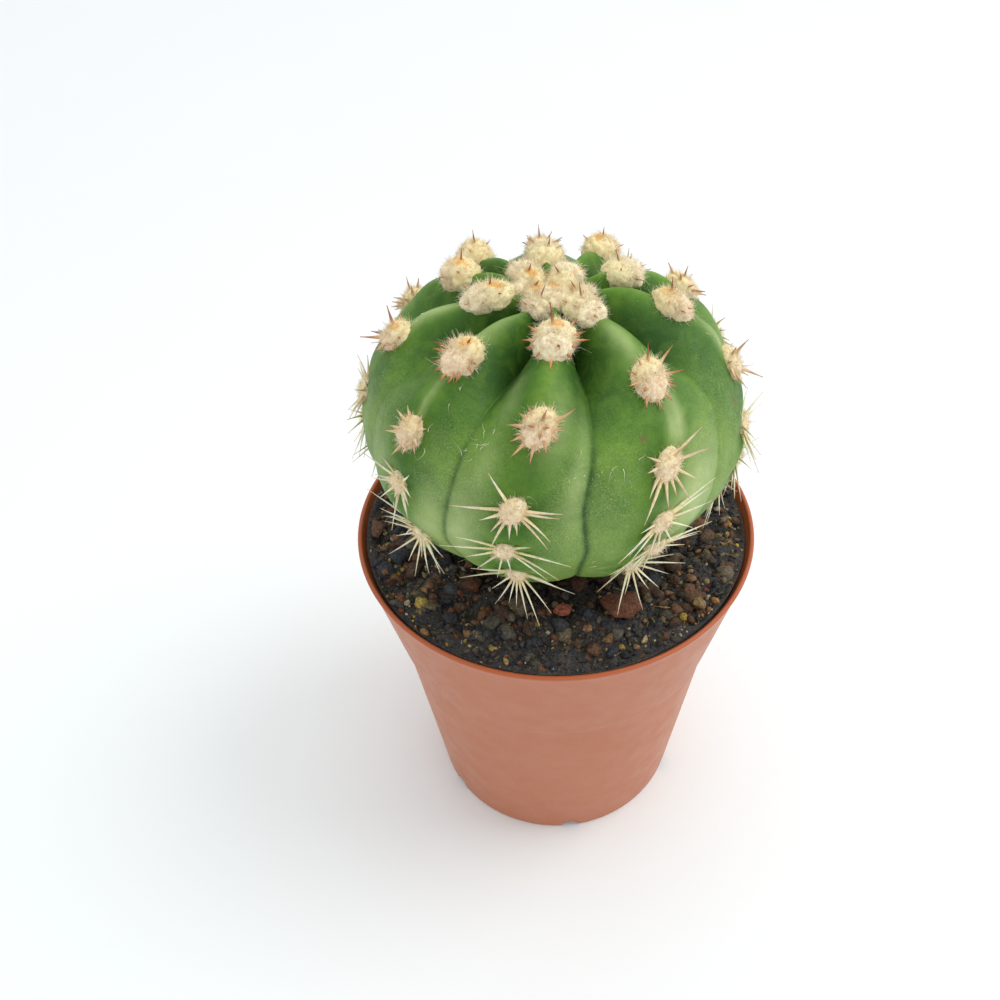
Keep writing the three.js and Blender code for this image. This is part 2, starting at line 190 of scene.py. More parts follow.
def closed_faces(rows, columns):
    """The rings' quads, with fans to the two points that come after the rings."""
    i = np.arange(columns)
    n = (i + 1) % columns
    last, pole = (rows - 1) * columns, np.full(columns, rows * columns)
    fans = [np.stack([pole, i, n], -1), np.stack([pole + 1, last + n, last + i], -1)]
    return [ring_faces(rows, columns), np.concatenate(fans)]


def turned(profile, segments):
    """Rings of points about the upright axis, one for each radius and height of a profile."""
    azimuth = np.arange(segments) / segments * TURN
    radius, height = np.array(profile, float).T[..., None]
    level = height * np.ones(segments)
    return np.stack([radius * np.sin(azimuth), -radius * np.cos(azimuth), level], -1)


class Pile:
    """Gathers many small shapes into one mesh."""

    def __init__(self):
        self.points, self.faces, self.colours, self.count = [], {}, [], 0

    def add(self, points, faces, colours):
        self.points.append(points)
        self.colours.append(np.broadcast_to(colours, (len(points), 4)))
        for group in faces if isinstance(faces, list) else [faces]:
            self.faces.setdefault(group.shape[1], []).append(group + self.count)
        self.count += len(points)

    def mesh(self, name):
        faces = [np.concatenate(g) for g in self.faces.values()]
        return make_mesh(name, np.concatenate(self.points), faces, np.concatenate(self.colours))


# ---- node materials

class Nodes:
    """Builds the node tree of a material or of the world."""

    def __init__(self, owner, shader, coordinates, **settings):
        owner.use_nodes = True
        self.owner, self.tree = owner, owner.node_tree
        self.shader = self.tree.nodes[shader]
        self.feed(self.shader, **settings)
        self.place = self.add("ShaderNodeTexCoord").outputs[coordinates]

    def add(self, kind, **settings):
        node = self.tree.nodes.new(kind)
        for key, value in settings.items():
            setattr(node, key, value)
        return node

    def put(self, value, socket):
        if isinstance(value, bpy.types.NodeSocket):
            self.tree.links.new(value, socket)
        elif value is not None:
            socket.default_value = value

    def feed(self, node, **inputs):
        """Links or sets inputs by name, where an underscore stands for a space."""
        for name, value in inputs.items():
            self.put(value, node.inputs[name.replace("_", " ")])

    def noise(self, size, detail=3.0, rough=0.55, warp=0.0):
        """Noise with features about size mm across."""
        node = self.add("ShaderNodeTexNoise")
        self.feed(node, Vector=self.place, Scale=1 / (size * MM), Detail=detail, Roughness=rough,
                  Distortion=warp)
        return node.outputs["Fac"]

    def cells(self, size):
        """Distance to the nearest of many points strewn about size mm apart."""
        node = self.add("ShaderNodeTexVoronoi")
        self.feed(node, Vector=self.place, Scale=1 / (size * MM))
        return node.outputs["Distance"]

    def value(self, name, output="Fac"):
        return self.add("ShaderNodeAttribute", attribute_name=name).outputs[output]

    def tint(self):
        return self.value("tint", "Color")

    def spread(self, value, low, high, to_low=0.0, to_high=1.0):
        """Spreads low to high smoothly over 0 to 1, or over to_low to to_high."""
        node = self.add("ShaderNodeMapRange", interpolation_type="SMOOTHSTEP")
        self.feed(node, Value=value, From_Min=low, From_Max=high, To_Min=to_low, To_Max=to_high)
        return node.outputs["Result"]

    def times(self, a, b):
        node = self.add("ShaderNodeMath", operation="MULTIPLY")
        self.put(a, node.inputs[0])
        self.put(b, node.inputs[1])
        return node.outputs[0]

    def blend(self, share, a, b, mode="MIX"):
        node = self.add("ShaderNodeMix", data_type="RGBA", blend_type=mode)
        self.feed(node, Factor=share, A=a, B=b)
        return next(o for o in node.outputs if o.type == "RGBA")

    def stain(self, base, share, colour, strength=1.0):
        """Lays a colour over the base one, as strongly as share times strength."""
        return self.blend(self.times(share, strength), base, srgb(*colour))

    def bump(self, height, depth, normal=None):
        """depth is the height difference in mm that height 0 to 1 stands for."""
        node = self.add("ShaderNodeBump")
        self.feed(node, Height=height, Distance=depth * MM, Normal=normal)
        return node.outputs["Normal"]

    def finish(self, colour, roughness=None, normal=None):
        self.feed(self.shader, Base_Color=colour, Roughness=roughness, Normal=normal)
        return self.owner


def surface(name, gloss, seep=(0.0, (1.0, 1.0, 1.0), 1.0), **settings):
    """A new surface. seep is how much light seeps in, how far for red, green and blue, in mm."""
    m = Nodes(bpy.data.materials.new(name), "Principled BSDF", "Object", **settings)
    weight, radius, depth = seep
    m.feed(m.shader, Specular_IOR_Level=gloss, Subsurface_Weight=weight, Subsurface_Radius=radius,
           Subsurface_Scale=depth * MM)
    return m


def pot_plastic():
    """Thin terracotta-coloured plastic, satin, with faint flow marks and scuffs."""
    m = surface("pot_plastic", 0.5, (0.08, (1.0, 0.45, 0.25), 0.8), IOR=1.5)
    base = m.blend(m.noise(14, 2), srgb(184, 108, 71), srgb(190, 116, 80))
    base = m.stain(base, m.spread(m.noise(0.5, 4), 0.35, 0.75), (176, 100, 64), 0.25)
    base = m.stain(base, m.value("edge"), (184, 92, 48))
    rough = m.spread(m.noise(3, 5), 0.3, 0.75, 0.38, 0.5)
    grain = m.bump(m.noise(0.22, 3), 0.012)
    return m.finish(base, rough, m.bump(m.noise(9, 2), 0.12, grain))


def cactus_skin():
    """Waxy green skin: painted highlight on the crests, painted shade in the clefts, and a pale bloom
    low on the flanks that is partly painted bounce light.
    """
    m = surface("cactus_skin", 0.28, (0.1, (0.8, 1.0, 0.25), 1.0), IOR=1.45)
    green = m.blend(m.spread(m.noise(7, 4), 0.3, 0.7), srgb(60, 110, 24), srgb(92, 138, 32))
    # painted highlight: paler green along the crests, where the waxy skin catches the light
    green = m.stain(green, m.value("crest"), (146, 182, 78))
    # painted shade: darker green deep in the clefts near the crown
    green = m.stain(green, m.value("cleft_shade"), (46, 86, 30))
    green = m.stain(green, m.spread(m.noise(2.6, 4, 0.6, 0.6), 0.42, 0.66), (118, 158, 48), 0.32)
    green = m.stain(green, m.spread(m.noise(1.1, 5, 0.6), 0.35, 0.7), (46, 86, 26), 0.3)
    clouds = {
        # pale waxy bloom low on the flanks, partly painted bounce light from the floor
        "bloom_and_bounce_light": (m.spread(m.noise(2.2, 5, 0.65), 0.28, 0.75, 0.45, 1.0), (160, 184, 92)),
        # painted highlights: the listed pale patches where the waxy skin catches the light
        "pale": (m.spread(m.noise(3, 4), 0.25, 0.7, 0.6, 1.0), (196, 212, 146)),
        # painted shade: the listed deep green patches and the chin shadows below the areoles
        "dark": (m.spread(m.noise(2, 4), 0.25, 0.7, 0.5, 1.0), (36, 82, 24)),
        "dust": (m.spread(m.noise(0.2, 2), 0.3, 0.7, 0.0, 0.22), (186, 202, 150)),
        # painted shade along the fine crease line in each furrow
        "crease": (m.spread(m.noise(1.4, 4), 0.3, 0.6, 0.6, 1.0), (56, 90, 40)),
    }
    for layer, (cloud, colour) in clouds.items():
        green = m.stain(green, m.value(layer), colour, cloud)
    dots = m.spread(m.cells(0.24), 0.12, 0.32, 1.0, 0.0)
    dots = m.times(m.times(dots, m.spread(m.noise(1.3, 4), 0.36, 0.66)), m.value("dust"))
    green = m.stain(green, dots, (210, 220, 164), 0.45)
    scurf = m.spread(m.noise(0.5, 6, 0.7, 1.5), 0.655, 0.71)
    scurf = m.times(scurf, m.spread(m.noise(5.5, 2), 0.5, 0.62))
    green = m.stain(green, scurf, (222, 224, 192), 0.6)
    cork = m.blend(m.noise(0.7, 5), srgb(104, 74, 50), srgb(150, 112, 78))
    green = m.blend(m.value("cork"), green, cork)
    rough = m.spread(m.noise(0.8, 4), 0.3, 0.7, 0.45, 0.6)
    pores = m.bump(m.cells(0.26), 0.02)
    return m.finish(green, rough, m.bump(m.noise(2.2, 3), 0.09, pores))


def felt():
    """Woolly felt of the areoles: the tint says how fresh it is and holds the painted shade in its
    hollows.
    """
    m = surface("areole_felt", 0.2, Roughness=0.95)
    colour = m.stain(m.tint(), m.spread(m.noise(0.45, 3), 0.35, 0.7), (255, 250, 222), 0.3)
    colour = m.stain(colour, m.spread(m.noise(0.4, 4), 0.54, 0.7), (240, 172, 122), 0.5)
    colour = m.stain(colour, m.spread(m.noise(0.2, 3), 0.56, 0.66), (244, 184, 120), 0.35)
    return m.finish(colour, None, m.bump(m.noise(0.2, 3), 0.04))


def spine_horn():
    """Horny spines: pale and translucent when old, reddish when young, with fine streaks."""
    m = surface("spine_horn", 0.4, (0.2, (1.0, 0.7, 0.4), 0.4), Roughness=0.42)
    colour = m.stain(m.tint(), m.spread(m.noise(0.5, 3), 0.4, 0.75), (140, 84, 50), 0.3)
    return m.finish(colour, None, m.bump(m.noise(0.15, 2), 0.02))


def crumbs(name, rough, gloss, grit):
    """Loose matter on the soil. Each crumb has its own tint, and grit is its grain in mm."""
    m = surface(name, gloss, Roughness=rough)
    dark = m.blend(1.0, m.tint(), srgb(160, 148, 142), "MULTIPLY")
    colour = m.blend(m.spread(m.noise(grit, 5, 0.65), 0.3, 0.75), dark, m.tint())
    return m.finish(colour, None, m.bump(m.noise(grit, 4, 0.7), 0.16))


def floor_paper():
    m = surface("floor_paper", 0.1, Roughness=0.9)
    paper = m.blend(m.noise(60, 2), srgb(244, 246, 247), srgb(246, 248, 249))
    # painted light: paler paper near the pot, lifting its shadow and bounce tint
    return m.finish(m.stain(paper, m.value("near"), (250, 255, 255)))


# ---- pot

def pot_radius(z):
    foot = POT.collar_foot
    if z < foot:
        return mix(POT.base_radius, POT.collar_foot_radius - POT.collar_step, z / foot)
    return mix(POT.collar_foot_radius, POT.rim_radius, (z - foot) / (POT.height - foot))


def arc(cx, cz, radius, start, stop, steps):
    """Points of a profile's rounding, from one angle in degrees to another."""
    angles = np.linspace(start, stop, steps) * DEG
    return [(cx + radius * math.cos(a), cz + radius * math.sin(a)) for a in angles]


def pot_profile():
    """Outline of the pot's section from the underside's middle, round the outside and back."""
    height, wall, lip = POT.height, POT.wall, POT.lip
    foot, floor = POT.foot_height, POT.foot_height + POT.wall
    ring = POT.base_radius - POT.foot_width
    under = [(0.0, foot), (8.0, foot), (ring - 1.0, foot)]
    under += arc(ring - 0.5, foot - 0.5, 0.5, 90, 0, 5)
    under += [(ring, 0.25), (ring + 0.25, 0.0), (POT.base_radius - 0.6, 0.0)]
    outside = arc(POT.base_radius - 0.45, 0.5, 0.5, -90, 0, 6)
    outside += [(pot_radius(z), z) for z in np.linspace(1.0, POT.collar_foot - 0.5, 20)]
    step = POT.collar_foot
    outside += [(pot_radius(step - 0.01), step - 0.2), (pot_radius(step) - 0.12, step - 0.02)]
    outside += [(pot_radius(step) - 0.03, step + 0.12), (pot_radius(step + 0.3), step + 0.35)]
    outside += [(pot_radius(z), z) for z in np.linspace(step + 1, height - 1.6, 14)]
    # a slightly thickened, rounded lip
    outside += [(pot_radius(height - 1.1) + 0.04, height - 1.1)]
    outside += [(pot_radius(height - 0.8) + 0.1, height - 0.8)]
    rim = arc(POT.rim_radius - lip + 0.1, height - lip, lip, 0, 180, 11)
    inner = POT.rim_radius - 2 * lip + 0.1
    inside = [(inner - 0.1, height - 0.9)]
    inside += [(pot_radius(z) - wall, z) for z in np.linspace(height - 1.6, floor + 0.6, 24)]
    inside += [(pot_radius(floor) - wall - 0.6, floor), (8.0, floor), (0.0, floor)]
    return under + outside + rim + inside


def pot_mesh(name):
    """The pot without its drains. The lip and the top of its inside are marked as edge."""
    profile, collar = pot_profile(), 45
    rings = turned(profile[1:-1], POT.segments)
    middles = [(0, 0, profile[0][1]), (0, 0, profile[-1][1])]
    points = np.concatenate([rings.reshape(-1, 3), middles])
    radius, height = np.hypot(points[:, 0], points[:, 1]), points[:, 2]
    edge = smooth((height - (POT.height - 0.5)) / 0.35)
    inside = (radius < pot_radius(collar) + (height - collar) * 0.2) & (height > collar - 1)
    faces = [group[:, ::-1] for group in closed_faces(len(rings), POT.segments)]
    return make_mesh(name, points, faces, values={"edge": np.maximum(edge, 0.8 * inside)})


def cylinder_cutter(radius, length, along, centre):
    """A closed round bar for a boolean cut."""
    bpy.ops.mesh.primitive_cylinder_add(vertices=40, radius=radius * MM, depth=length * MM)
    bar = bpy.context.active_object
    bar.rotation_mode = "QUATERNION"
    bar.rotation_quaternion = Vector((0, 0, 1)).rotation_difference(Vector(along))
    bar.location = Vector(centre) * MM
    return bar


def cut_drains(pot):
    """Cuts the drain holes and the arches that lead out under the foot ring."""
    radius, through = POT.drain_radius, 8  # a bar longer than the floor is thick
    hole_radius = POT.base_radius - POT.foot_width - radius - 0.6
    arch_length = POT.foot_width + 2 * radius + 2
    bars = []
    for i in range(POT.drains):
        azimuth = (POT.first_drain + 360 * i / POT.drains) * DEG
        out = np.array([math.sin(azimuth), -math.cos(azimuth), 0.0])
        arch = out * (hole_radius + arch_length / 2) + [0, 0, POT.foot_height - radius]
        bars.append(cylinder_cutter(radius, through, (0, 0, 1), out * hole_radius))
        bars.append(cylinder_cutter(radius, arch_length, out, arch))
    bpy.context.view_layer.update()
    for bar in bars:
        cut = pot.modifiers.new("drain", "BOOLEAN")
        cut.operation, cut.object, cut.solver = "DIFFERENCE", bar, "EXACT"
        bpy.context.view_layer.objects.active = pot
        bpy.ops.object.modifier_apply(modifier=cut.name)
    for bar in bars:
        bpy.data.objects.remove(bar)


def build_pot():
    pot = add_piece(pot_mesh("nursery_pot"), pot_plastic(), ["pot"])
    cut_drains(pot)


# ---- stem

def rib_at(index):
    return RIBS[index % len(RIBS)]


def crest_azimuth(index, theta):
    top, flank = rib_at(index)[:2]
    down = (np.minimum(theta, 100.0) - TOP_ANGLE) / (FLANK_ANGLE - TOP_ANGLE)
    return mix(top, flank, down) + 360 * (index // len(RIBS))


def furrow_azimuth(index, theta):
    flank, under = rib_at(index)[3:]
    share = mix(flank, under, smooth((theta - 70) / 30))
    return mix(crest_azimuth(index, theta), crest_azimuth(index + 1, theta), share)


def stray(index, number):
    return STRAYS.get((index % len(RIBS) + 1, number + 1), (0.0, 0.0))


def areole_angle(index, number):
    s = number + rib_at(index)[2]
    i = min(len(AREOLE_ANGLES) - 2, max(0, math.floor(s)))
    return mix(AREOLE_ANGLES[i], AREOLE_ANGLES[i + 1], s - i) + stray(index, number)[0]


def furrow_depth(theta):
    deep = mix(STEM.cleft_depth, STEM.crease_depth, smooth((theta - 20) / 42))
    return smooth(theta / 18) * deep


def crenation(index, theta):
    """1 at each areole and 0 midway between two, along a crest."""
    angles = [areole_angle(index, n) for n in range(len(AREOLE_ANGLES))]
    steps = np.interp(theta, angles, np.arange(len(angles)), left=-0.5, right=len(angles) - 0.5)
    return 0.5 + 0.5 * np.cos(TURN * steps)


def furrow_line(index):
    return FURROW_LINES.get(index % len(RIBS) + 1, FAINT_LINE)


def stem_surface(index, across, theta):
    """Points on the skin for arrays of across (-1 furrow, 0 crest, 1 furrow) and theta."""
    share = np.abs(across)
    furrow = np.where(across < 0, furrow_azimuth(index - 1, theta), furrow_azimuth(index, theta))
    azimuth = mix(crest_azimuth(index, theta), furrow, share) * DEG
    dip = STEM.crown_dip * np.exp(-((theta / STEM.crown_dip_angle) ** 2))
    shoulder = np.where(theta < 90, STEM.shoulder * np.sin(2 * theta * DEG) ** 2, 0.0)
    notch = STEM.notch_depth * crenation(index, theta) * (1 - share) ** 2
    plain = np.where(across < 0, furrow_line(index - 1), furrow_line(index))
    crease = plain * np.exp(-(((1 - share) / 0.05) ** 2)) * smooth((theta - 25) / 30)
    furrowed = furrow_depth(theta) * share ** 1.9
    tuck = STEM.underside_tuck * smooth((theta - 88) / 25)
    scale = 1 + shoulder - dip - notch - furrowed - STEM.line_depth * crease - tuck
    r = STEM.radius * np.sin(theta * DEG) * scale
    z = STEM.centre_height + STEM.half_height * np.cos(theta * DEG) * scale
    return np.stack([STEM.centre_x + r * np.sin(azimuth), -r * np.cos(azimuth), z], -1)


def stem_point(index, across, theta):
    return stem_surface(index, np.array([float(across)]), np.array([float(theta)]))[0]


# Patches of skin: rib, across, theta, half-sizes of both, strength. First the painted highlights
# where the waxy skin catches the light, then the patches of painted shade, then the corky scars.
PAINTED_HIGHLIGHT_PATCHES = [
    (2, 0.1, 53, 0.08, 8, 0.7), (2, 0.2, 55, 0.12, 12, 0.8), (2, 0.5, 82, 0.38, 17, 0.95),
    (2, -0.1, 28, 0.2, 9, 0.5), (10, 0.02, 48, 0.07, 14, 0.5), (10, 0.0, 26, 0.25, 10, 0.45),
    (10, 0.75, 92, 0.3, 16, 0.55), (10, -0.5, 78, 0.4, 10, 0.25), (1, -0.75, 88, 0.3, 18, 0.6),
    (1, -0.6, 62, 0.16, 10, 0.35), (1, 0.8, 66, 0.16, 20, 0.4), (1, 0.3, 48, 0.3, 10, 0.4),
    (1, -0.6, 40, 0.15, 8, 0.3), (3, 0.0, 52, 0.16, 11, 0.6), (3, 0.4, 80, 0.3, 14, 0.5),
    (9, 0.0, 36, 0.2, 14, 0.6), (9, 0.3, 76, 0.3, 8, 0.2), (6, 0.3, 70, 0.3, 16, 0.5),
    (5, -0.3, 62, 0.3, 14, 0.4), (8, 0.4, 76, 0.3, 16, 0.45), (7, 0.0, 48, 0.2, 12, 0.4),
]
PAINTED_SHADE_PATCHES = [
    (2, -0.28, 60, 0.14, 9, 0.6), (2, -0.12, 60, 0.09, 12, 0.6), (1, 0.0, 61, 0.22, 6, 0.7),
    (10, 0.5, 50, 0.3, 9, 0.5), (3, -0.3, 34, 0.5, 14, 0.5), (3, -0.5, 60, 0.3, 16, 0.45),
    (9, 0.5, 60, 0.3, 10, 0.5), (9, -0.4, 64, 0.4, 18, 0.6), (1, -0.35, 52, 0.2, 8, 0.35),
    (10, 0.4, 72, 0.25, 9, 0.4), (1, 0.3, 74, 0.2, 6, 0.35), (2, -0.1, 86, 0.18, 8, 0.4),
]
SCARS = [
    (2, -0.36, 55, 0.045, 0.9, 0.9), (3, -0.45, 66, 0.05, 1.0, 0.7), (6, 0.3, 48, 0.05, 1.1, 0.8),
    (8, -0.4, 70, 0.06, 1.2, 0.8),
]
# Degrees below each areole where its painted chin shadow lies.
CHIN_ANGLE = 9.5
# Radius and height of the rings below the ball, from the end of the ribs to the root.
NECK = [
    (12.6, 54.3), (11.7, 53.8), (10.9, 53.4), (10.2, 53.0), (9.6, 52.6), (9.2, 52.2),
    (8.9, 51.8), (8.6, 51.3), (8.5, 50.6), (8.4, 49.0), (7.8, 46.0), (5.5, 41.0), (2.6, 37.6),
]


def chin_shadows():
    """A spot of painted shade on the crest below the second, third and fourth areole of each rib,
    where the areole's chin shades it.
    """
    return [(rib + 1, 0.0, areole_angle(rib, number) + CHIN_ANGLE, 0.16, 3.0, 0.35)
            for rib in range(len(RIBS)) for number in range(1, 4)]


def patch_strength(patches, across, theta):
    """How strongly each skin point is covered, for columns round the ribs and rows down them."""
    cover = np.zeros(across.shape)
    columns = across.shape[1] // len(RIBS)
    for rib, a, t, wide, tall, strength in patches:
        part = slice((rib - 1) * columns, rib * columns)
        away = ((across[:, part] - a) / wide) ** 2 + ((theta[:, part] - t) / tall) ** 2
        cover[:, part] = np.maximum(cover[:, part], strength * np.exp(-away))
    return cover


def neck_rings(around):
    """The rings of the neck, which comes back to the pot's axis under the soil."""
    rings = []
    for radius, height in NECK:
        shift = STEM.centre_x * clamp01((height - 48) / 6)
        x, y = radius * np.cos(around) + shift, radius * np.sin(around)
        rings.append(np.stack([x, y, np.full(len(around), height)], -1))
    return np.array(rings)


def build_stem():
    per_rib, crown_rows, rows = 40, 44, 152
    u = np.arange(per_rib) / per_rib * 2 - 1
    across = u + 0.55 * np.sin(math.pi * u) / math.pi  # closer together in the furrows
    theta = np.concatenate([np.linspace(0.6, 20, crown_rows), np.linspace(20.6, RIB_END, rows)])
    across, theta = np.meshgrid(across, theta)
    ball = np.concatenate([stem_surface(rib, across, theta) for rib in range(len(RIBS))], axis=1)
    across, theta = np.tile(across, len(RIBS)), np.tile(theta, len(RIBS))
    last = ball[-1] - STEM_CENTRE
    rings = np.concatenate([ball, neck_rings(np.arctan2(last[:, 1], last[:, 0]))])
    skin = rings.reshape(-1, 3)
    wobble = soft_noise(skin, 7.0, 1.0) * 0.22 + soft_noise(skin, 2.4, 2.0) * 0.05
    wobble = wobble * smooth((np.hypot(skin[:, 0], skin[:, 1]) - 2) / 5)
    skin = skin + unit(skin - STEM_CENTRE) * wobble[:, None]
    points = np.concatenate([skin, [stem_point(0, 0, 0), [0, 0, STEM.root_tip]]])

    def whole(part, neck, ends=(0, 0)):
        """A value at every point: on the ball, then on the neck and at the two ends."""
        return np.concatenate([part.ravel(), np.full(len(skin) - part.size, float(neck)), ends])

    a, t = whole(np.abs(across), 1), whole(theta, NECK_ANGLE, (0, 180))
    blotch = np.append(soft_noise(skin, 8.0, 4.0), [0, 0]) * 0.5 + 0.5
    plain = [furrow_line(rib) for rib in range(len(RIBS))]
    before, after = (np.repeat(np.roll(plain, k), per_rib)[None] for k in (1, 0))
    line = whole(np.where(across < 0, before, after), 0) * np.exp(-(((1 - a) / 0.045) ** 2))
    # painted highlights, painted shade with the chin shadows, and the corky scars
    layers = (PAINTED_HIGHLIGHT_PATCHES, PAINTED_SHADE_PATCHES + chin_shadows(), SCARS)
    pale, dark, scar = (whole(patch_strength(patches, across, theta), 0) for patches in layers)
    values = {
        # painted highlight along the crests
        "crest": (1 - smooth(a / 0.3)) * smooth((84 - t) / 40) * (0.05 + 0.4 * blotch),
        # painted shade in the clefts near the crown
        "cleft_shade": smooth((a - 0.15) / 0.6) * smooth((58 - t) / 26) * 0.9,
        # painted highlight patches
        "pale": pale,
        # painted shade patches and chin shadows
        "dark": dark,
        # painted shade along the fine crease line in each furrow
        "crease": line * smooth((t - 40) / 25) * smooth((140 - t) / 9),
        # pale waxy bloom low on the flanks, partly painted bounce light from the floor
        "bloom_and_bounce_light": smooth((a - 0.05) / 0.8) * smooth((t - 44) / 40) * (0.1 + 0.6 * blotch),
        "dust": 0.12 + 0.88 * smooth((t - 36) / 34) * smooth((a - 0.1) / 0.5),
        "cork": np.maximum(smooth((t - 130 - 7 * blotch) / 10), scar),
    }
    faces = closed_faces(len(rings), per_rib * len(RIBS))
    mesh = make_mesh("ribbed_stem", points, faces, values=values)
    add_piece(mesh, cactus_skin(), ["cactus_stem"])


# ---- areoles

# Half width, half length and height of a felt cushion, in mm.
YOUNG_CUSHION, OLD_CUSHION = np.array([2.2, 2.65, 2.0]), np.array([1.3, 1.35, 0.95])
# Cushions of other sizes, and how far each has moved down its rib, in mm.
ODD_CUSHIONS = {
    (1, 1): ((2.4, 2.8, 2.0), -0.9), (2, 1): ((2.2, 2.9, 1.5), -1.0), (3, 1): ((1.8, 1.9, 1.1), 0.0),
    (4, 1): ((2.2, 2.7, 1.9), 1.1), (5, 2): ((2.3, 2.7, 2.5), 0.0), (6, 1): ((2.4, 2.5, 1.9), 0.0),
    (7, 1): ((2.2, 2.7, 1.9), 0.8), (7, 2): ((2.3, 2.6, 2.8), 1.6), (8, 1): ((2.3, 2.3, 1.6), 1.0),
    (8, 2): ((2.4, 2.4, 2.5), 0.0), (9, 1): ((2.1, 3.2, 1.8), -1.7),
    (10, 1): ((1.9, 1.5, 1.2), -1.0),
}
LOOSE_HAIRED = [(3, 2), (4, 1), (10, 2), (6, 2)]
OCHRE_PITS = [(10, 2), (9, 1), (3, 1), (3, 2), (8, 1), (8, 2), (5, 2), (7, 1), (1, 1), (9, 2)]
BALL_ROWS, BALL_COLUMNS = 34, 54


class Areole:
    """Place and size of one felt cushion on a rib crest."""

    def __init__(self, rib, number):
        self.rib, self.number, self.label = rib, number, (rib + 1, number + 1)
        self.theta = areole_angle(rib, number)
        across = stray(rib, number)[1]
        self.at = stem_point(rib, across, self.theta)
        above, below = max(self.theta - 5, 1), self.theta + 5
        self.down = unit(stem_point(rib, across, below) - stem_point(rib, across, above))
        azimuth = math.atan2(self.at[0] - STEM.centre_x, -self.at[1])
        self.side = np.array([math.cos(azimuth), math.sin(azimuth), 0.0])
        self.out = unit(np.cross(self.down, self.side))
        self.age = clamp01((self.theta - 36) / 52)
        self.size = mix(YOUNG_CUSHION, OLD_CUSHION, self.age)
        size, shift = ODD_CUSHIONS.get(self.label, (self.size, 0.0))
        self.size = np.array(size)
        self.at = self.at + self.down * shift
        self.random = np.random.default_rng(1000 + 37 * rib + number)
        self.spines = spine_set(self)

    def turn(self, local):
        """A direction given as sideways, up the rib and outward, in the model's frame."""
        local = np.asarray(local, float)
        return (local[..., 0:1] * self.side - local[..., 1:2] * self.down
                + local[..., 2:3] * self.out)

    def world(self, local):
        return self.at + self.turn(local)


def crown_areole():
    """The pad of new wool on the growing point."""
    crown = Areole(0, 0)
    crown.at, crown.size, crown.spines = stem_point(0, 0, 0), np.array([2.6, 2.4, 1.3]), []
    crown.side, crown.down, crown.out = np.array([[1.0, 0, 0], [0, -1.0, 0], [0, 0, 1.0]])
    return crown


CREAM, YELLOW, PINK = shades((255, 241, 196), (255, 234, 138), (255, 234, 200))
# The tan is painted shade for the felt's hollows.
NEW_WOOL, OCHRE, HOLLOW_SHADE_TAN = shades((255, 252, 214), (248, 192, 84), (238, 178, 112))
WHITE_HAIR, STRAY_HAIR = shades((250, 246, 232), (226, 232, 196))
HAIR_TIP, TUFT_TIP = shades((255, 250, 236), (240, 186, 130))


def felt_colour(areole, local, spot, hollow=None):
    """Fresh felt is cream and yellow up the rib, and older felt is pinkish; its hollows get a painted
    tan shade.
    """
    up = local[:, 1] / areole.size[1]
    newest = areole.number == 0
    fresh = smooth((up + 0.5) / 1.2) * (1 - 0.6 * areole.age)
    colour = mix(PINK, CREAM, fresh[:, None])
    ripe = smooth((up + 0.2) / 0.9) * (1 - areole.age) * (0.55 if newest else 0.3)
    colour = mix(colour, YELLOW, ripe[:, None])
    if newest:
        colour = mix(colour, NEW_WOOL, 0.45)
    if spot:
        away = np.hypot(local[:, 0] / areole.size[0] - 0.1, up - 0.45)
        colour = mix(colour, OCHRE, (0.9 * smooth((0.42 - away) / 0.25))[:, None])
    # painted shade: tan in the felt's hollows
    if hollow is not None:
        colour = mix(colour, HOLLOW_SHADE_TAN, (0.22 * smooth(hollow))[:, None])
    return colour


def cushion_points(areole):
    """The felt's body, a lumpy, slightly waisted ball, and how hollow it is at each point, which sets
    its painted shade.
    """
    polar = np.linspace(2, 178, BALL_ROWS) * DEG
    turn = np.arange(BALL_COLUMNS) / BALL_COLUMNS * TURN
    p, t = np.meshgrid(polar, turn, indexing="ij")
    ball = np.stack([np.sin(p) * np.sin(t), np.sin(p) * np.cos(t), np.cos(p)], -1).reshape(-1, 3)
    seed = areole.rib * 7.1 + areole.number * 3.3
    real = ball * areole.size
    curds = np.abs(soft_noise(real, 1.1, seed))
    knots = np.abs(soft_noise(real, 0.5, seed + 1))
    lumps = curds * mix(0.2, 0.14, areole.age) + knots * 0.1 - 0.08
    lumps += soft_noise(real, 0.22, seed + 2) * 0.06
    waist = 0.12 * (1 - areole.age) * np.exp(-((ball[:, 1] / 0.25) ** 2))
    grown = ball * (1 + lumps - waist)[:, None]
    return grown * areole.size, 0.9 - curds * 2.4 - knots * 2


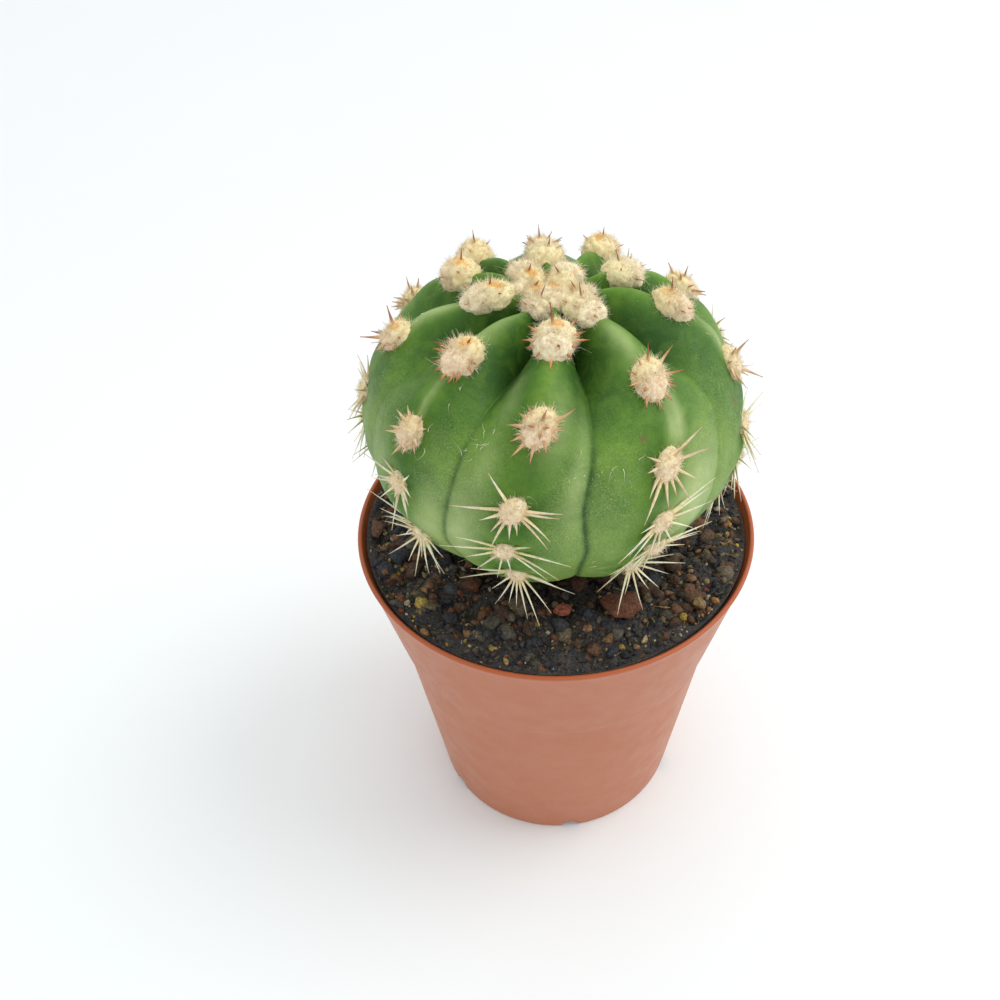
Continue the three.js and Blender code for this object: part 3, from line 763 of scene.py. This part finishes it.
def hair_strands(roots, directions, lengths, radius, bend, random, sides=3, steps=3):
    """Tapered, bent strands: their points, faces and share along, and each point's strand."""
    count, per_strand = len(roots), (steps + 1) * sides
    reference = np.where(np.abs(directions[:, 2:3]) < 0.9, [[0, 0, 1.0]], [[1.0, 0, 0]])
    u = unit(np.cross(directions, reference))
    v = np.cross(directions, u)
    sway = random.normal(size=(count, 2)) * bend
    along = np.linspace(0, 1, steps + 1)
    spin = np.arange(sides) / sides * TURN
    bowed = (sway[:, 0:1] * u + sway[:, 1:2] * v)[:, None] * (along ** 2)[None, :, None]
    spine = directions[:, None] * along[None, :, None] + bowed
    centre = roots[:, None] + spine * lengths[:, None, None]
    thick = radius[:, None] * np.maximum(1 - along, 0.12)[None] ** 0.8
    ring = (u[:, None, None] * np.cos(spin)[None, None, :, None]
            + v[:, None, None] * np.sin(spin)[None, None, :, None])
    points = centre[:, :, None] + ring * thick[:, :, None, None]
    first = np.arange(count) * per_strand
    walls = (ring_faces(steps + 1, sides)[None] + first[:, None, None]).reshape(-1, 4)
    tips = first[:, None] + per_strand - 1 - np.arange(sides)
    share = np.broadcast_to(along[None, :, None], points.shape[:3]).reshape(-1)
    strand = np.repeat(np.arange(count), per_strand)
    return points.reshape(-1, 3), [walls, tips], share, strand


def spine_direction(turn, lean):
    """Unit vectors in the areole's frame from turns and leans in degrees."""
    turn, lean = turn * DEG, lean * DEG
    flat = np.cos(lean)
    return np.stack([np.sin(turn) * flat, np.cos(turn) * flat, np.sin(lean)], -1)


def spine_tufts(areole, pile):
    """Felt drawn out along the foot of each spine, which makes a young areole star-like."""
    random, per_spine = areole.random, 14
    turn, lean, length, _ = (np.repeat(np.array(c), per_spine) for c in zip(*areole.spines))
    way = spine_direction(turn, lean)
    reach = 1 / np.linalg.norm(way / areole.size, axis=1)
    jitter = random.normal(size=way.shape) * 0.16
    roots = way * (reach * 0.8)[:, None] + jitter
    lengths = reach * 0.2 + np.minimum(length * 0.5, 0.85) * random.uniform(0.3, 1, len(length))
    points, faces, share, hair = hair_strands(
        areole.world(roots), areole.turn(unit(way + jitter * 0.9)), lengths,
        random.uniform(0.035, 0.06, len(length)), 0.2, random, 3, 2)
    colour = felt_colour(areole, roots, False)[hair]
    pile.add(points, faces, mix(colour, TUFT_TIP, (0.5 * share)[:, None]))


def areole_felt(areole, pile):
    """The cushion, its short woolly hairs and a few long loose ones."""
    random, age = areole.random, areole.age
    spot = areole.label in OCHRE_PITS
    local, hollow = cushion_points(areole)
    quads = ring_faces(BALL_ROWS, BALL_COLUMNS)[:, ::-1]
    pile.add(areole.world(local), quads, felt_colour(areole, local, spot, hollow))
    count = int(mix(1300, 520, age))
    z = random.uniform(-0.2, 1, count)
    turn = random.uniform(0, TURN, count)
    flat = np.sqrt(1 - z ** 2)
    sphere = np.stack([flat * np.sin(turn), flat * np.cos(turn), z], -1)
    roots = sphere * areole.size * random.uniform(0.82, 0.98, (count, 1))
    lean = unit(0.45 * unit(sphere / areole.size) + random.normal(size=(count, 3)) * 0.55)
    lengths = random.uniform(0.3, 0.75, count) * mix(1.0, 0.8, age)
    thick = random.uniform(0.03, 0.055, count)
    points, faces, share, hair = hair_strands(
        areole.world(roots), areole.turn(lean), lengths, thick, 0.8, random)
    colour = felt_colour(areole, roots, spot)[hair]
    pile.add(points, faces, mix(colour, HAIR_TIP, (0.1 + 0.35 * share)[:, None]))
    if areole.spines and age < 0.5:
        spine_tufts(areole, pile)
    if areole.label in LOOSE_HAIRED:
        loose = 9
        turn = random.uniform(60, 300, loose) * DEG
        way = unit(np.stack([np.sin(turn), np.cos(turn), random.uniform(-0.1, 0.5, loose)], -1))
        points, faces, _, _ = hair_strands(
            areole.world(way * areole.size * 0.85), areole.turn(way),
            random.uniform(0.8, 1.8, loose), np.full(loose, 0.04), 0.6, random, 3, 6)
        pile.add(points, faces, WHITE_HAIR)


# Turn, lean and visible length of the spines on the areoles that face the camera and on the
# lower ones at its sides.
HAND_SPINES = {
    (9, 2): [(350, 60, 2.4), (180, 44, 2.5), (225, 20, 1.5), (150, 24, 1.2), (90, 14, 1.5),
             (60, 20, 1.1), (270, 12, 1.4), (300, 20, 1.0), (120, 30, 1.0), (200, 50, 1.4)],
    (3, 3): [(0, 62, 2.2), (180, 42, 2.8), (200, 16, 1.5), (160, 20, 1.7), (100, 14, 1.6),
             (80, 18, 1.2), (270, 14, 2.0), (300, 18, 1.7), (240, 20, 1.6), (330, 40, 1.3)],
    (1, 1): [(348, 60, 2.4), (268, 10, 1.2), (292, 22, 1.2), (245, 12, 0.9), (182, 6, 1.4),
             (142, 10, 1.1), (95, 12, 1.6), (78, 14, 1.2), (118, 16, 0.8), (215, 14, 0.9),
             (50, 24, 1.0), (160, 40, 0.6)],
    (1, 2): [(64, 18, 2.2), (272, 20, 1.6), (300, 30, 1.1), (325, 30, 1.0), (212, 14, 2.0),
             (182, 20, 2.0), (150, 24, 1.5), (118, 22, 1.2), (92, 24, 0.9), (235, 22, 1.4),
             (20, 62, 1.5), (100, 66, 1.3), (155, 58, 1.3), (265, 68, 0.8)],
    (1, 3): [(268, 8, 5.4), (322, 14, 4.4), (84, 10, 4.0), (92, 12, 3.9), (124, 10, 4.8),
             (112, 12, 4.3), (196, 12, 3.4), (245, 16, 2.0), (172, 14, 1.8), (214, 18, 1.6),
             (150, 16, 1.5), (20, 50, 1.6)],
    (2, 2): [(4, 40, 1.9), (64, 16, 2.4), (112, 34, 2.1), (124, 12, 1.0), (275, 14, 1.2),
             (300, 22, 1.0), (222, 12, 1.5), (186, 8, 1.4), (158, 12, 1.3), (132, 12, 1.4),
             (240, 30, 0.7), (330, 34, 0.9)],
    (2, 3): [(54, 14, 3.4), (90, 12, 3.8), (128, 14, 3.2), (150, 12, 3.8), (188, 12, 2.8),
             (212, 10, 4.6), (236, 14, 2.4), (276, 14, 1.6), (304, 18, 2.8), (170, 20, 2.0),
             (20, 48, 1.8)],
    (1, 4): [(268, 8, 6.2), (295, 10, 5.3), (87, 8, 6.4), (108, 8, 6.2), (117, 10, 5.2),
             (46, 14, 2.8), (243, 10, 3.4), (213, 12, 3.2), (180, 14, 3.2), (156, 12, 2.6)],
    (1, 5): [(268, 12, 5.8), (284, 10, 4.2), (214, 44, 4.4), (196, 48, 3.2), (176, 50, 3.2),
             (156, 48, 5.0), (140, 42, 6.0), (124, 30, 5.4), (98, 12, 6.0), (80, 12, 4.4),
             (240, 34, 2.6)],
    (2, 4): [(242, 10, 5.0), (252, 12, 4.0), (227, 12, 3.8), (48, 12, 5.4), (60, 12, 4.4),
             (90, 8, 5.2), (116, 12, 3.5), (200, 14, 2.8), (180, 12, 3.0), (153, 14, 2.6),
             (276, 16, 2.3)],
    (2, 5): [(259, 8, 4.9), (230, 12, 3.2), (61, 10, 5.4), (77, 10, 4.2), (110, 12, 3.4),
             (188, 14, 2.9), (214, 14, 2.9), (92, 8, 4.6), (285, 14, 2.6)],
    (2, 6): [(275, 20, 4.8), (225, 45, 5.6), (178, 52, 5.6), (132, 44, 4.3), (92, 20, 5.5),
             (110, 30, 4.5), (290, 14, 2.6), (205, 50, 3.0), (150, 50, 3.4), (60, 14, 4.0)],
    (10, 5): [(232, 52, 4.6), (196, 56, 3.4), (160, 54, 4.6), (140, 44, 4.0), (255, 34, 3.0),
              (285, 22, 3.8), (305, 14, 3.4), (110, 26, 4.4), (80, 14, 4.2), (176, 48, 2.2)],
    (10, 2): [(255, 40, 1.6), (245, 30, 1.2), (222, 12, 1.1), (200, 12, 1.0), (175, 10, 1.2),
              (155, 10, 1.5), (140, 12, 1.6), (110, 14, 1.2), (90, 20, 0.7), (285, 24, 0.8),
              (20, 50, 0.6)],
}


# Areoles nearer the top than this, in degrees, have only stubby spines.
STUBBY_ANGLE = 38


def spine_set(areole):
    """Turn round the areole from straight up, lean off the skin, length and girth of spines."""
    random, age = areole.random, areole.age
    grown = float(smooth((areole.theta - 56) / 40))
    girth = mix(0.28, 0.18, grown)
    if areole.label in HAND_SPINES:
        return [(turn, lean, length, girth) for turn, lean, length in HAND_SPINES[areole.label]]
    spines = []
    if areole.theta < STUBBY_ANGLE:
        for i in range(6):
            turn = mix(50, 310, (i + random.uniform(-0.4, 0.4)) / 5)
            spines.append((turn, random.uniform(5, 40), random.uniform(0.35, 0.9), 0.16))
        spines.append((random.uniform(-30, 30), 62, random.uniform(0.9, 1.7), 0.19))
        return spines
    count = int(round(mix(9, 12, age)))
    first = mix(25, 58, grown)
    for i in range(count):
        turn = mix(first, 360 - first, (i + random.uniform(-0.3, 0.3)) / (count - 1))
        lean = mix(34, 14, age) + random.uniform(-8, 10)
        length = mix(1.2, 5.0, grown) * random.uniform(0.6, 1.25)
        spines.append((turn, lean, length, girth))
    if age < 0.5:
        spines.append((random.uniform(-25, 25), 55, mix(1.7, 2.6, grown), 0.21))
        spines.append((random.uniform(60, 160), 50, 1.2, 0.19))
    else:
        spines.append((random.uniform(-40, 40), 35, 2.6 * random.uniform(0.7, 1.2), 0.15))
    return spines


SPINE_STOPS = [0, 0.35, 0.8, 1]  # shares of a spine's length where these colours stand
YOUNG_SPINE = shades((252, 224, 172), (244, 192, 132), (214, 138, 84), (132, 66, 44))
OLD_SPINE = shades((244, 220, 156), (255, 242, 204), (255, 248, 224), (226, 184, 132))
BROWN_SPINE = srgb(128, 66, 42)  # the spines of a young areole that stand up


def areole_spines(areole, pile):
    random, age = areole.random, clamp01(areole.age * 1.15)
    turn, lean, length, girth = (np.array(c) for c in zip(*areole.spines))
    direction = spine_direction(turn, lean)
    reach = 1 / np.linalg.norm(direction / areole.size, axis=1)
    roots = direction * (reach * 0.72)[:, None]
    points, faces, share, spine = hair_strands(
        areole.world(roots), areole.turn(direction), length + reach * 0.28, girth, 0.05, random,
        6, 7)
    stops = mix(YOUNG_SPINE, OLD_SPINE, age)
    colour = np.stack([np.interp(share, SPINE_STOPS, channel) for channel in stops.T], -1)
    brown = (1 - age) * np.where(lean >= 40, 0.85, random.uniform(0, 0.5, len(turn)))
    colour = mix(colour, BROWN_SPINE, (brown[spine] * smooth(share / 0.6))[:, None])
    shade = random.uniform(0.8, 1.15, len(turn))[spine]
    pile.add(points, faces, np.clip(colour * shade[:, None], 0, 1))


# Where stray wool hairs cling to the skin: rib, across, theta and how many.
WISPS = [(1, -0.7, 52, 8), (1, -0.9, 58, 5), (1, 0.85, 60, 5), (2, -0.8, 62, 6), (10, 0.45, 44, 3),
         (2, -0.75, 102, 3), (3, -0.1, 46, 4), (9, 0.2, 40, 3), (10, 0.3, 62, 3), (7, 0.5, 60, 5),
         (5, -0.6, 55, 5), (6, 0.8, 50, 4), (1, 0.1, 68, 2)]


def build_wisps(wool):
    random = np.random.default_rng(77)
    roots, ways = [], []
    for rib, across, theta, count in WISPS:
        for _ in range(count):
            a = across + random.normal() * 0.1
            t = theta + random.normal() * 3.5
            here = stem_point(rib - 1, a, t)
            beside = unit(stem_point(rib - 1, a + 0.05, t) - here)
            below = unit(stem_point(rib - 1, a, t + 1) - here)
            turn = random.uniform(0, TURN)
            outward = unit(here - STEM_CENTRE)
            roots.append(here + outward * 0.12)
            ways.append(unit(beside * math.cos(turn) + below * math.sin(turn) + outward * 0.1))
    count = len(roots)
    points, faces, _, _ = hair_strands(
        np.array(roots), np.array(ways), random.uniform(0.5, 1.4, count),
        random.uniform(0.03, 0.055, count), 0.9, random, 3, 6)
    pile = Pile()
    pile.add(points, faces, STRAY_HAIR)
    add_piece(pile.mesh("stray_wool"), wool)


def build_areoles():
    wool, horn = felt(), spine_horn()
    for rib in range(len(RIBS)):
        for number in range(len(AREOLE_ANGLES)):
            areole = Areole(rib, number)
            in_row = areole.theta - stray(rib, number)[0]
            if number >= CAD_AREOLES and in_row > LOWEST_AREOLE:
                continue
            label = "%d_%d" % areole.label
            felt_pile, spine_pile = Pile(), Pile()
            areole_felt(areole, felt_pile)
            areole_spines(areole, spine_pile)
            cad = [f"areole_{label}"] if number < CAD_AREOLES else []
            add_piece(felt_pile.mesh(f"felt_{label}"), wool, cad)
            add_piece(spine_pile.mesh(f"spines_{label}"), horn, cad)
    pile = Pile()
    areole_felt(crown_areole(), pile)
    add_piece(pile.mesh("crown_felt"), wool, ["crown_wool"])
    build_wisps(wool)


# ---- soil

def soil_height(x, y):
    r = np.hypot(x, y)
    azimuth = np.arctan2(y, x)
    waves = np.sin(3 * azimuth + 0.4 * r) + np.sin(5 * azimuth - 0.3 * r)
    return SOIL.edge_top + SOIL.crown * smooth((26 - r) / 14) + 0.15 * waves


def bed_height(x, y):
    """The uneven soil surface that the loose crumbs lie on, for arrays of x and y."""
    flat = np.stack([x, y, np.zeros_like(x)], -1).reshape(-1, 3)
    rough = soft_noise(flat, 3.2, 9.0) * 1.3 + soft_noise(flat, 0.8, 10.0) * 0.35
    wall = wall_radius(SOIL.edge_top - 0.4)
    calm = smooth((wall - np.hypot(x, y)) / 1.2)
    return soil_height(x, y) - mix(0.1, 0.3, calm) + rough.reshape(x.shape) * calm


def icosphere(level):
    """Corner directions and triangles of a ball."""
    shape = bmesh.new()
    bmesh.ops.create_icosphere(shape, subdivisions=level, radius=1.0)
    shape.verts.ensure_lookup_table()
    points = np.array([v.co[:] for v in shape.verts])
    faces = np.array([[v.index for v in f.verts] for f in shape.faces])
    shape.free()
    return points, faces


def break_faces(points, random, times, near, far, depth=1):
    """Knocks flat faces off a stone of about unit radius, at distances from near to far."""
    for _ in range(times):
        normal = unit(random.normal(size=3))
        over = np.maximum(points @ normal - random.uniform(near, far), 0)
        points = points - over[:, None] * normal * depth
    return points


def crumb_shape(base, random, rough, flat):
    """One irregular stone or crumb of about unit radius."""
    lumpy = soft_noise(base, 0.8, random.uniform(0, 40)) * 0.5
    points = base * (1 + lumpy)[:, None] + random.normal(size=base.shape) * rough
    points = break_faces(points, random, 3, 0.55, 0.9)
    stretch = np.array([random.uniform(0.7, 1.3), random.uniform(0.6, 1.0), flat])
    turn, tilt = random.uniform(0, TURN), random.uniform(-0.5, 0.5)
    c, s = math.cos(turn), math.sin(turn)
    a, b = math.cos(tilt), math.sin(tilt)
    spin = np.array([[c, -s, 0], [s, c, 0], [0, 0, 1]]) @ np.array([[1, 0, 0], [0, a, -b], [0, b, a]])
    return (points * stretch) @ spin.T


def wall_radius(height, gap=0.0):
    """Inner radius of the pot, less a gap."""
    return pot_radius(height) - POT.wall - gap


def shade_under_plant(r):
    """Painted shadow: the soil is darker close under the plant, where the ball shades it."""
    return 0.45 + 0.55 * smooth((r - 12) / 8)


def scatter(pile, count, sizes, tints, seed, level=1, rough=0.1, flat=(0.5, 0.9), sink=0.35,
            sides=None):
    """Strews crumbs over the soil between the neck and the pot's wall, or only to the sides."""
    random = np.random.default_rng(seed)
    base, faces = icosphere(level)
    size = sizes[0] * (sizes[1] / sizes[0]) ** (random.random(count) ** 1.8)
    edge = wall_radius(SOIL.edge_top, 0.25) - size * 0.9
    r = np.sqrt(random.uniform(SOIL.neck_gap ** 2, edge ** 2))
    azimuth = random.uniform(0, TURN, count)
    if sides:
        azimuth = random.uniform(*sides, count) * random.choice([-1, 1], count) * DEG
    x, y = r * np.sin(azimuth), -r * np.cos(azimuth)
    z = bed_height(x, y) + size * random.uniform(-sink, 0.6, count)
    for i, place in enumerate(np.stack([x, y, z], -1)):
        shape = crumb_shape(base, random, rough, random.uniform(*flat)) * size[i]
        # darkened by the painted shadow under the plant
        tint = tints[random.integers(len(tints))] * random.uniform(0.7, 1.3) * shade_under_plant(r[i])
        pile.add(shape + place, faces, np.clip(tint, 0, 1))


PEAT = shades((86, 84, 84), (66, 70, 80), (98, 94, 88), (108, 102, 92), (74, 79, 88))
CLUMPS = shades(
    (118, 114, 102), (82, 85, 90), (138, 126, 104), (124, 100, 84), (72, 76, 84), (140, 106, 84))
BARK = shades((134, 100, 76), (158, 116, 86), (112, 84, 66), (172, 136, 98), (140, 88, 68))
GRIT = shades(
    (216, 196, 130), (230, 216, 180), (196, 172, 110), (232, 226, 210), (214, 184, 84),
    (186, 142, 92))
GRAINS = shades((216, 186, 84), (222, 200, 150), (190, 140, 88), (206, 176, 110))
FLANKS = (35, 120)  # degrees from the front, where more bark and grit lies


def strew_fibres(pile, count, tints, seed):
    """Fine roots and bark fibres lying about on the soil."""
    random = np.random.default_rng(seed)
    r = np.sqrt(random.uniform(9.5 ** 2, 25 ** 2, count))
    azimuth, way = random.uniform(0, TURN, count), random.uniform(0, TURN, count)
    x, y = r * np.sin(azimuth), -r * np.cos(azimuth)
    roots = np.stack([x, y, bed_height(x, y) + random.uniform(0.1, 0.5, count)], -1)
    lean = unit(np.stack([np.cos(way), np.sin(way), random.normal(size=count) * 0.2], -1))
    lengths = random.uniform(0.8, 2.6, count)
    points, faces, _, fibre = hair_strands(
        roots, lean, lengths, random.uniform(0.04, 0.1, count), 0.35, random, 4, 4)
    pile.add(points, faces, tints[random.integers(len(tints), size=count)][fibre])


def soil_body(material):
    """The bed of potting mix: its rough top, its side against the pot, and a well for the root."""
    segments, rows, bottom = SOIL.segments, SOIL.rows, SOIL.bottom
    edge = wall_radius(SOIL.edge_top - 0.4, 0.05)
    top = turned([(r, 0) for r in np.linspace(8.0, edge, rows)], segments)
    top[..., 2] = bed_height(top[..., 0], top[..., 1])
    side = [(wall_radius(z, 0.05), z) for z in (47.0, 34.5, 32.5, 20.0, 3.4)]
    underside = [(14.0, bottom), (6.0, bottom), (0.4, bottom)]
    well = [(0.3, 35.5), (2.8, 37.0), (5.6, 40.5), (7.9, 44.5)]
    rings = np.concatenate([turned(well, segments), top, turned(side + underside, segments)])
    points = rings.reshape(-1, 3)
    tone = soft_noise(points, 1.2, 12.0) * 0.5 + 0.5
    colours = mix(PEAT[1], PEAT[3], tone[:, None])
    # painted shadow under the plant
    colours = colours * shade_under_plant(np.hypot(points[:, 0], points[:, 1]))[:, None]
    around = np.arange(segments)[None]
    ends = np.concatenate([around[:, ::-1], around + len(points) - segments])
    faces = [ring_faces(len(rings), segments)[:, ::-1], ends]
    add_piece(make_mesh("potting_mix", points, faces, colours), material, ["soil"])


def build_soil():
    material = crumbs("peat", 0.92, 0.3, 0.35)
    soil_body(material)
    peat, bark, grit = Pile(), Pile(), Pile()
    scatter(peat, 4600, (0.14, 0.7), PEAT, 3, rough=0.18)
    scatter(peat, 460, (0.6, 1.6), CLUMPS, 4, level=2, rough=0.08, flat=(0.45, 0.8), sink=0.4)
    scatter(bark, 460, (0.2, 1.2), BARK, 5, rough=0.18, flat=(0.3, 0.8))
    scatter(bark, 200, (0.3, 1.0), BARK, 6, rough=0.18, flat=(0.3, 0.8), sides=FLANKS)
    scatter(grit, 900, (0.12, 0.45), GRIT, 7, rough=0.1, sink=0.1)
    scatter(grit, 300, (0.14, 0.6), GRIT, 9, rough=0.1, sink=0.1, sides=FLANKS)
    scatter(grit, 70, (0.4, 0.85), GRAINS, 8, level=2, rough=0.06, flat=(0.6, 0.9), sink=0.1)
    strew_fibres(bark, 420, np.concatenate([BARK, GRIT[:1]]), 11)
    add_piece(peat.mesh("peat_crumbs"), material)
    add_piece(bark.mesh("bark_crumbs"), crumbs("bark", 0.85, 0.3, 0.4))
    add_piece(grit.mesh("grit_crumbs"), crumbs("grit", 0.75, 0.35, 0.3))


# Name, slot, colour, roughness and height share of the largest loose chips.
CHIPS = [
    ("lava_chip", "lava", srgb(136, 90, 68), 0.13, 0.6),
    ("clay_pebble", "lava", srgb(188, 110, 88), 0.03, 0.9),
    ("pumice_chip", "pumice", srgb(176, 150, 104), 0.08, 0.8),
    ("bark_chip", "bark", srgb(120, 80, 58), 0.1, 0.6),
    ("sandstone_chip", "pumice", srgb(206, 184, 96), 0.03, 0.8),
]


def build_chips():
    """The largest loose chips, each where its CAD solid lies, sunk into the crumbs."""
    base, faces = icosphere(4)
    sunk = [0, 0, 0.55]
    for i, (name, slot, tint, rough, flat) in enumerate(CHIPS):
        random = np.random.default_rng(60 + i)
        low, high = (np.array(c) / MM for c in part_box(name))
        middle, half = (low + high) / 2, (high - low) / 2
        coarse = soft_noise(base, 0.9, i * 4.0) * 0.3 + soft_noise(base, 0.35, i * 4.0 + 1) * rough
        shape = base * (1 + coarse)[:, None]
        shape = break_faces(shape, random, 5, 0.6, 0.85, 0.2 if rough < 0.05 else 1)
        shape = shape * half * [1.1, 1.1, 1.0]
        points = shape + middle - sunk
        mesh = make_mesh(f"{name}_finished", points, faces, np.tile(tint, (len(base), 1)))
        add_piece(mesh, crumbs(f"{name}_stone", 0.85, 0.3, 0.35), [name])


# ---- stage

# Radius of the floor's rings in mm, and how near to the pot each one counts, which sets how much
# painted light lifts it.
FLOOR = [(1, 1.0), (60, 1.0), (100, 0.8), (150, 0.35), (230, 0.0), (3000, 0.0)]


def build_stage():
    """A plain pale floor, painted a shade lighter close round the pot, which lifts the pot's shadow
    and bounce tint there.
    """
    segments = 64
    rings = turned([(reach, 0) for reach, _ in FLOOR], segments)
    near = np.repeat([share for _, share in FLOOR], segments)
    faces = [ring_faces(len(FLOOR), segments), np.arange(segments)[None]]
    floor = make_mesh("floor", rings.reshape(-1, 3), faces, values={"near": near})
    stage = new_object("floor", floor)
    floor.materials.append(floor_paper())


def area_light(name, place, aim, size, power, colour):
    data = bpy.data.lights.new(name, "AREA")
    data.shape, data.size, data.energy, data.color = "DISK", size, power, colour
    lamp = new_object(name, data)
    lamp.location = place
    lamp.rotation_euler = (Vector(aim) - Vector(place)).to_track_quat("-Z", "Y").to_euler()


LIGHT_WAY = Vector((0.45, 0.75, 0.35)).normalized()  # the bright side of the room
DIM, BRIGHT = 0.63, 1.11
ROOM_WHITE = (0.97, 0.985, 1.0, 1.0)
# Metres and watts.
LAMP = dict(
    place=(0.5, 0.05, 0.75), aim=(0, 0, 0.05), size=0.5, power=2.1, colour=(1.0, 0.985, 0.96))
CAMERA = SimpleNamespace(place=(0.0, -0.0993, 0.1507), down=44, sensor=36.0, lens=36.0, shift_x=-0.056)


def build_light():
    """A soft white room, a little darker behind the camera, and one large weak lamp."""
    room = Nodes(bpy.data.worlds.new("studio"), "Background", "Generated", Color=ROOM_WHITE)
    facing = room.add("ShaderNodeVectorMath", operation="DOT_PRODUCT")
    room.put(room.place, facing.inputs[0])
    room.put(LIGHT_WAY, facing.inputs[1])
    level = room.add("ShaderNodeMapRange")
    room.feed(level, Value=facing.outputs["Value"], From_Min=-1.0, To_Min=DIM, To_Max=BRIGHT)
    room.feed(room.shader, Strength=level.outputs["Result"])
    bpy.context.scene.world = room.owner
    area_light("lamp", **LAMP)
    bpy.context.scene.view_settings.view_transform = "Standard"


def build_camera():
    data = bpy.data.cameras.new("camera")
    data.sensor_width, data.lens = CAMERA.sensor, CAMERA.lens
    data.shift_x = CAMERA.shift_x
    data.clip_start, data.clip_end = 0.01, 20.0
    camera = new_object("camera", data)
    camera.location = CAMERA.place
    camera.rotation_euler = ((90 - CAMERA.down) * DEG, 0.0, 0.0)
    bpy.context.scene.camera = camera


# ---- all together

build_camera()
build_light()
build_stage()
build_pot()
build_soil()
build_chips()
build_stem()
build_areoles()
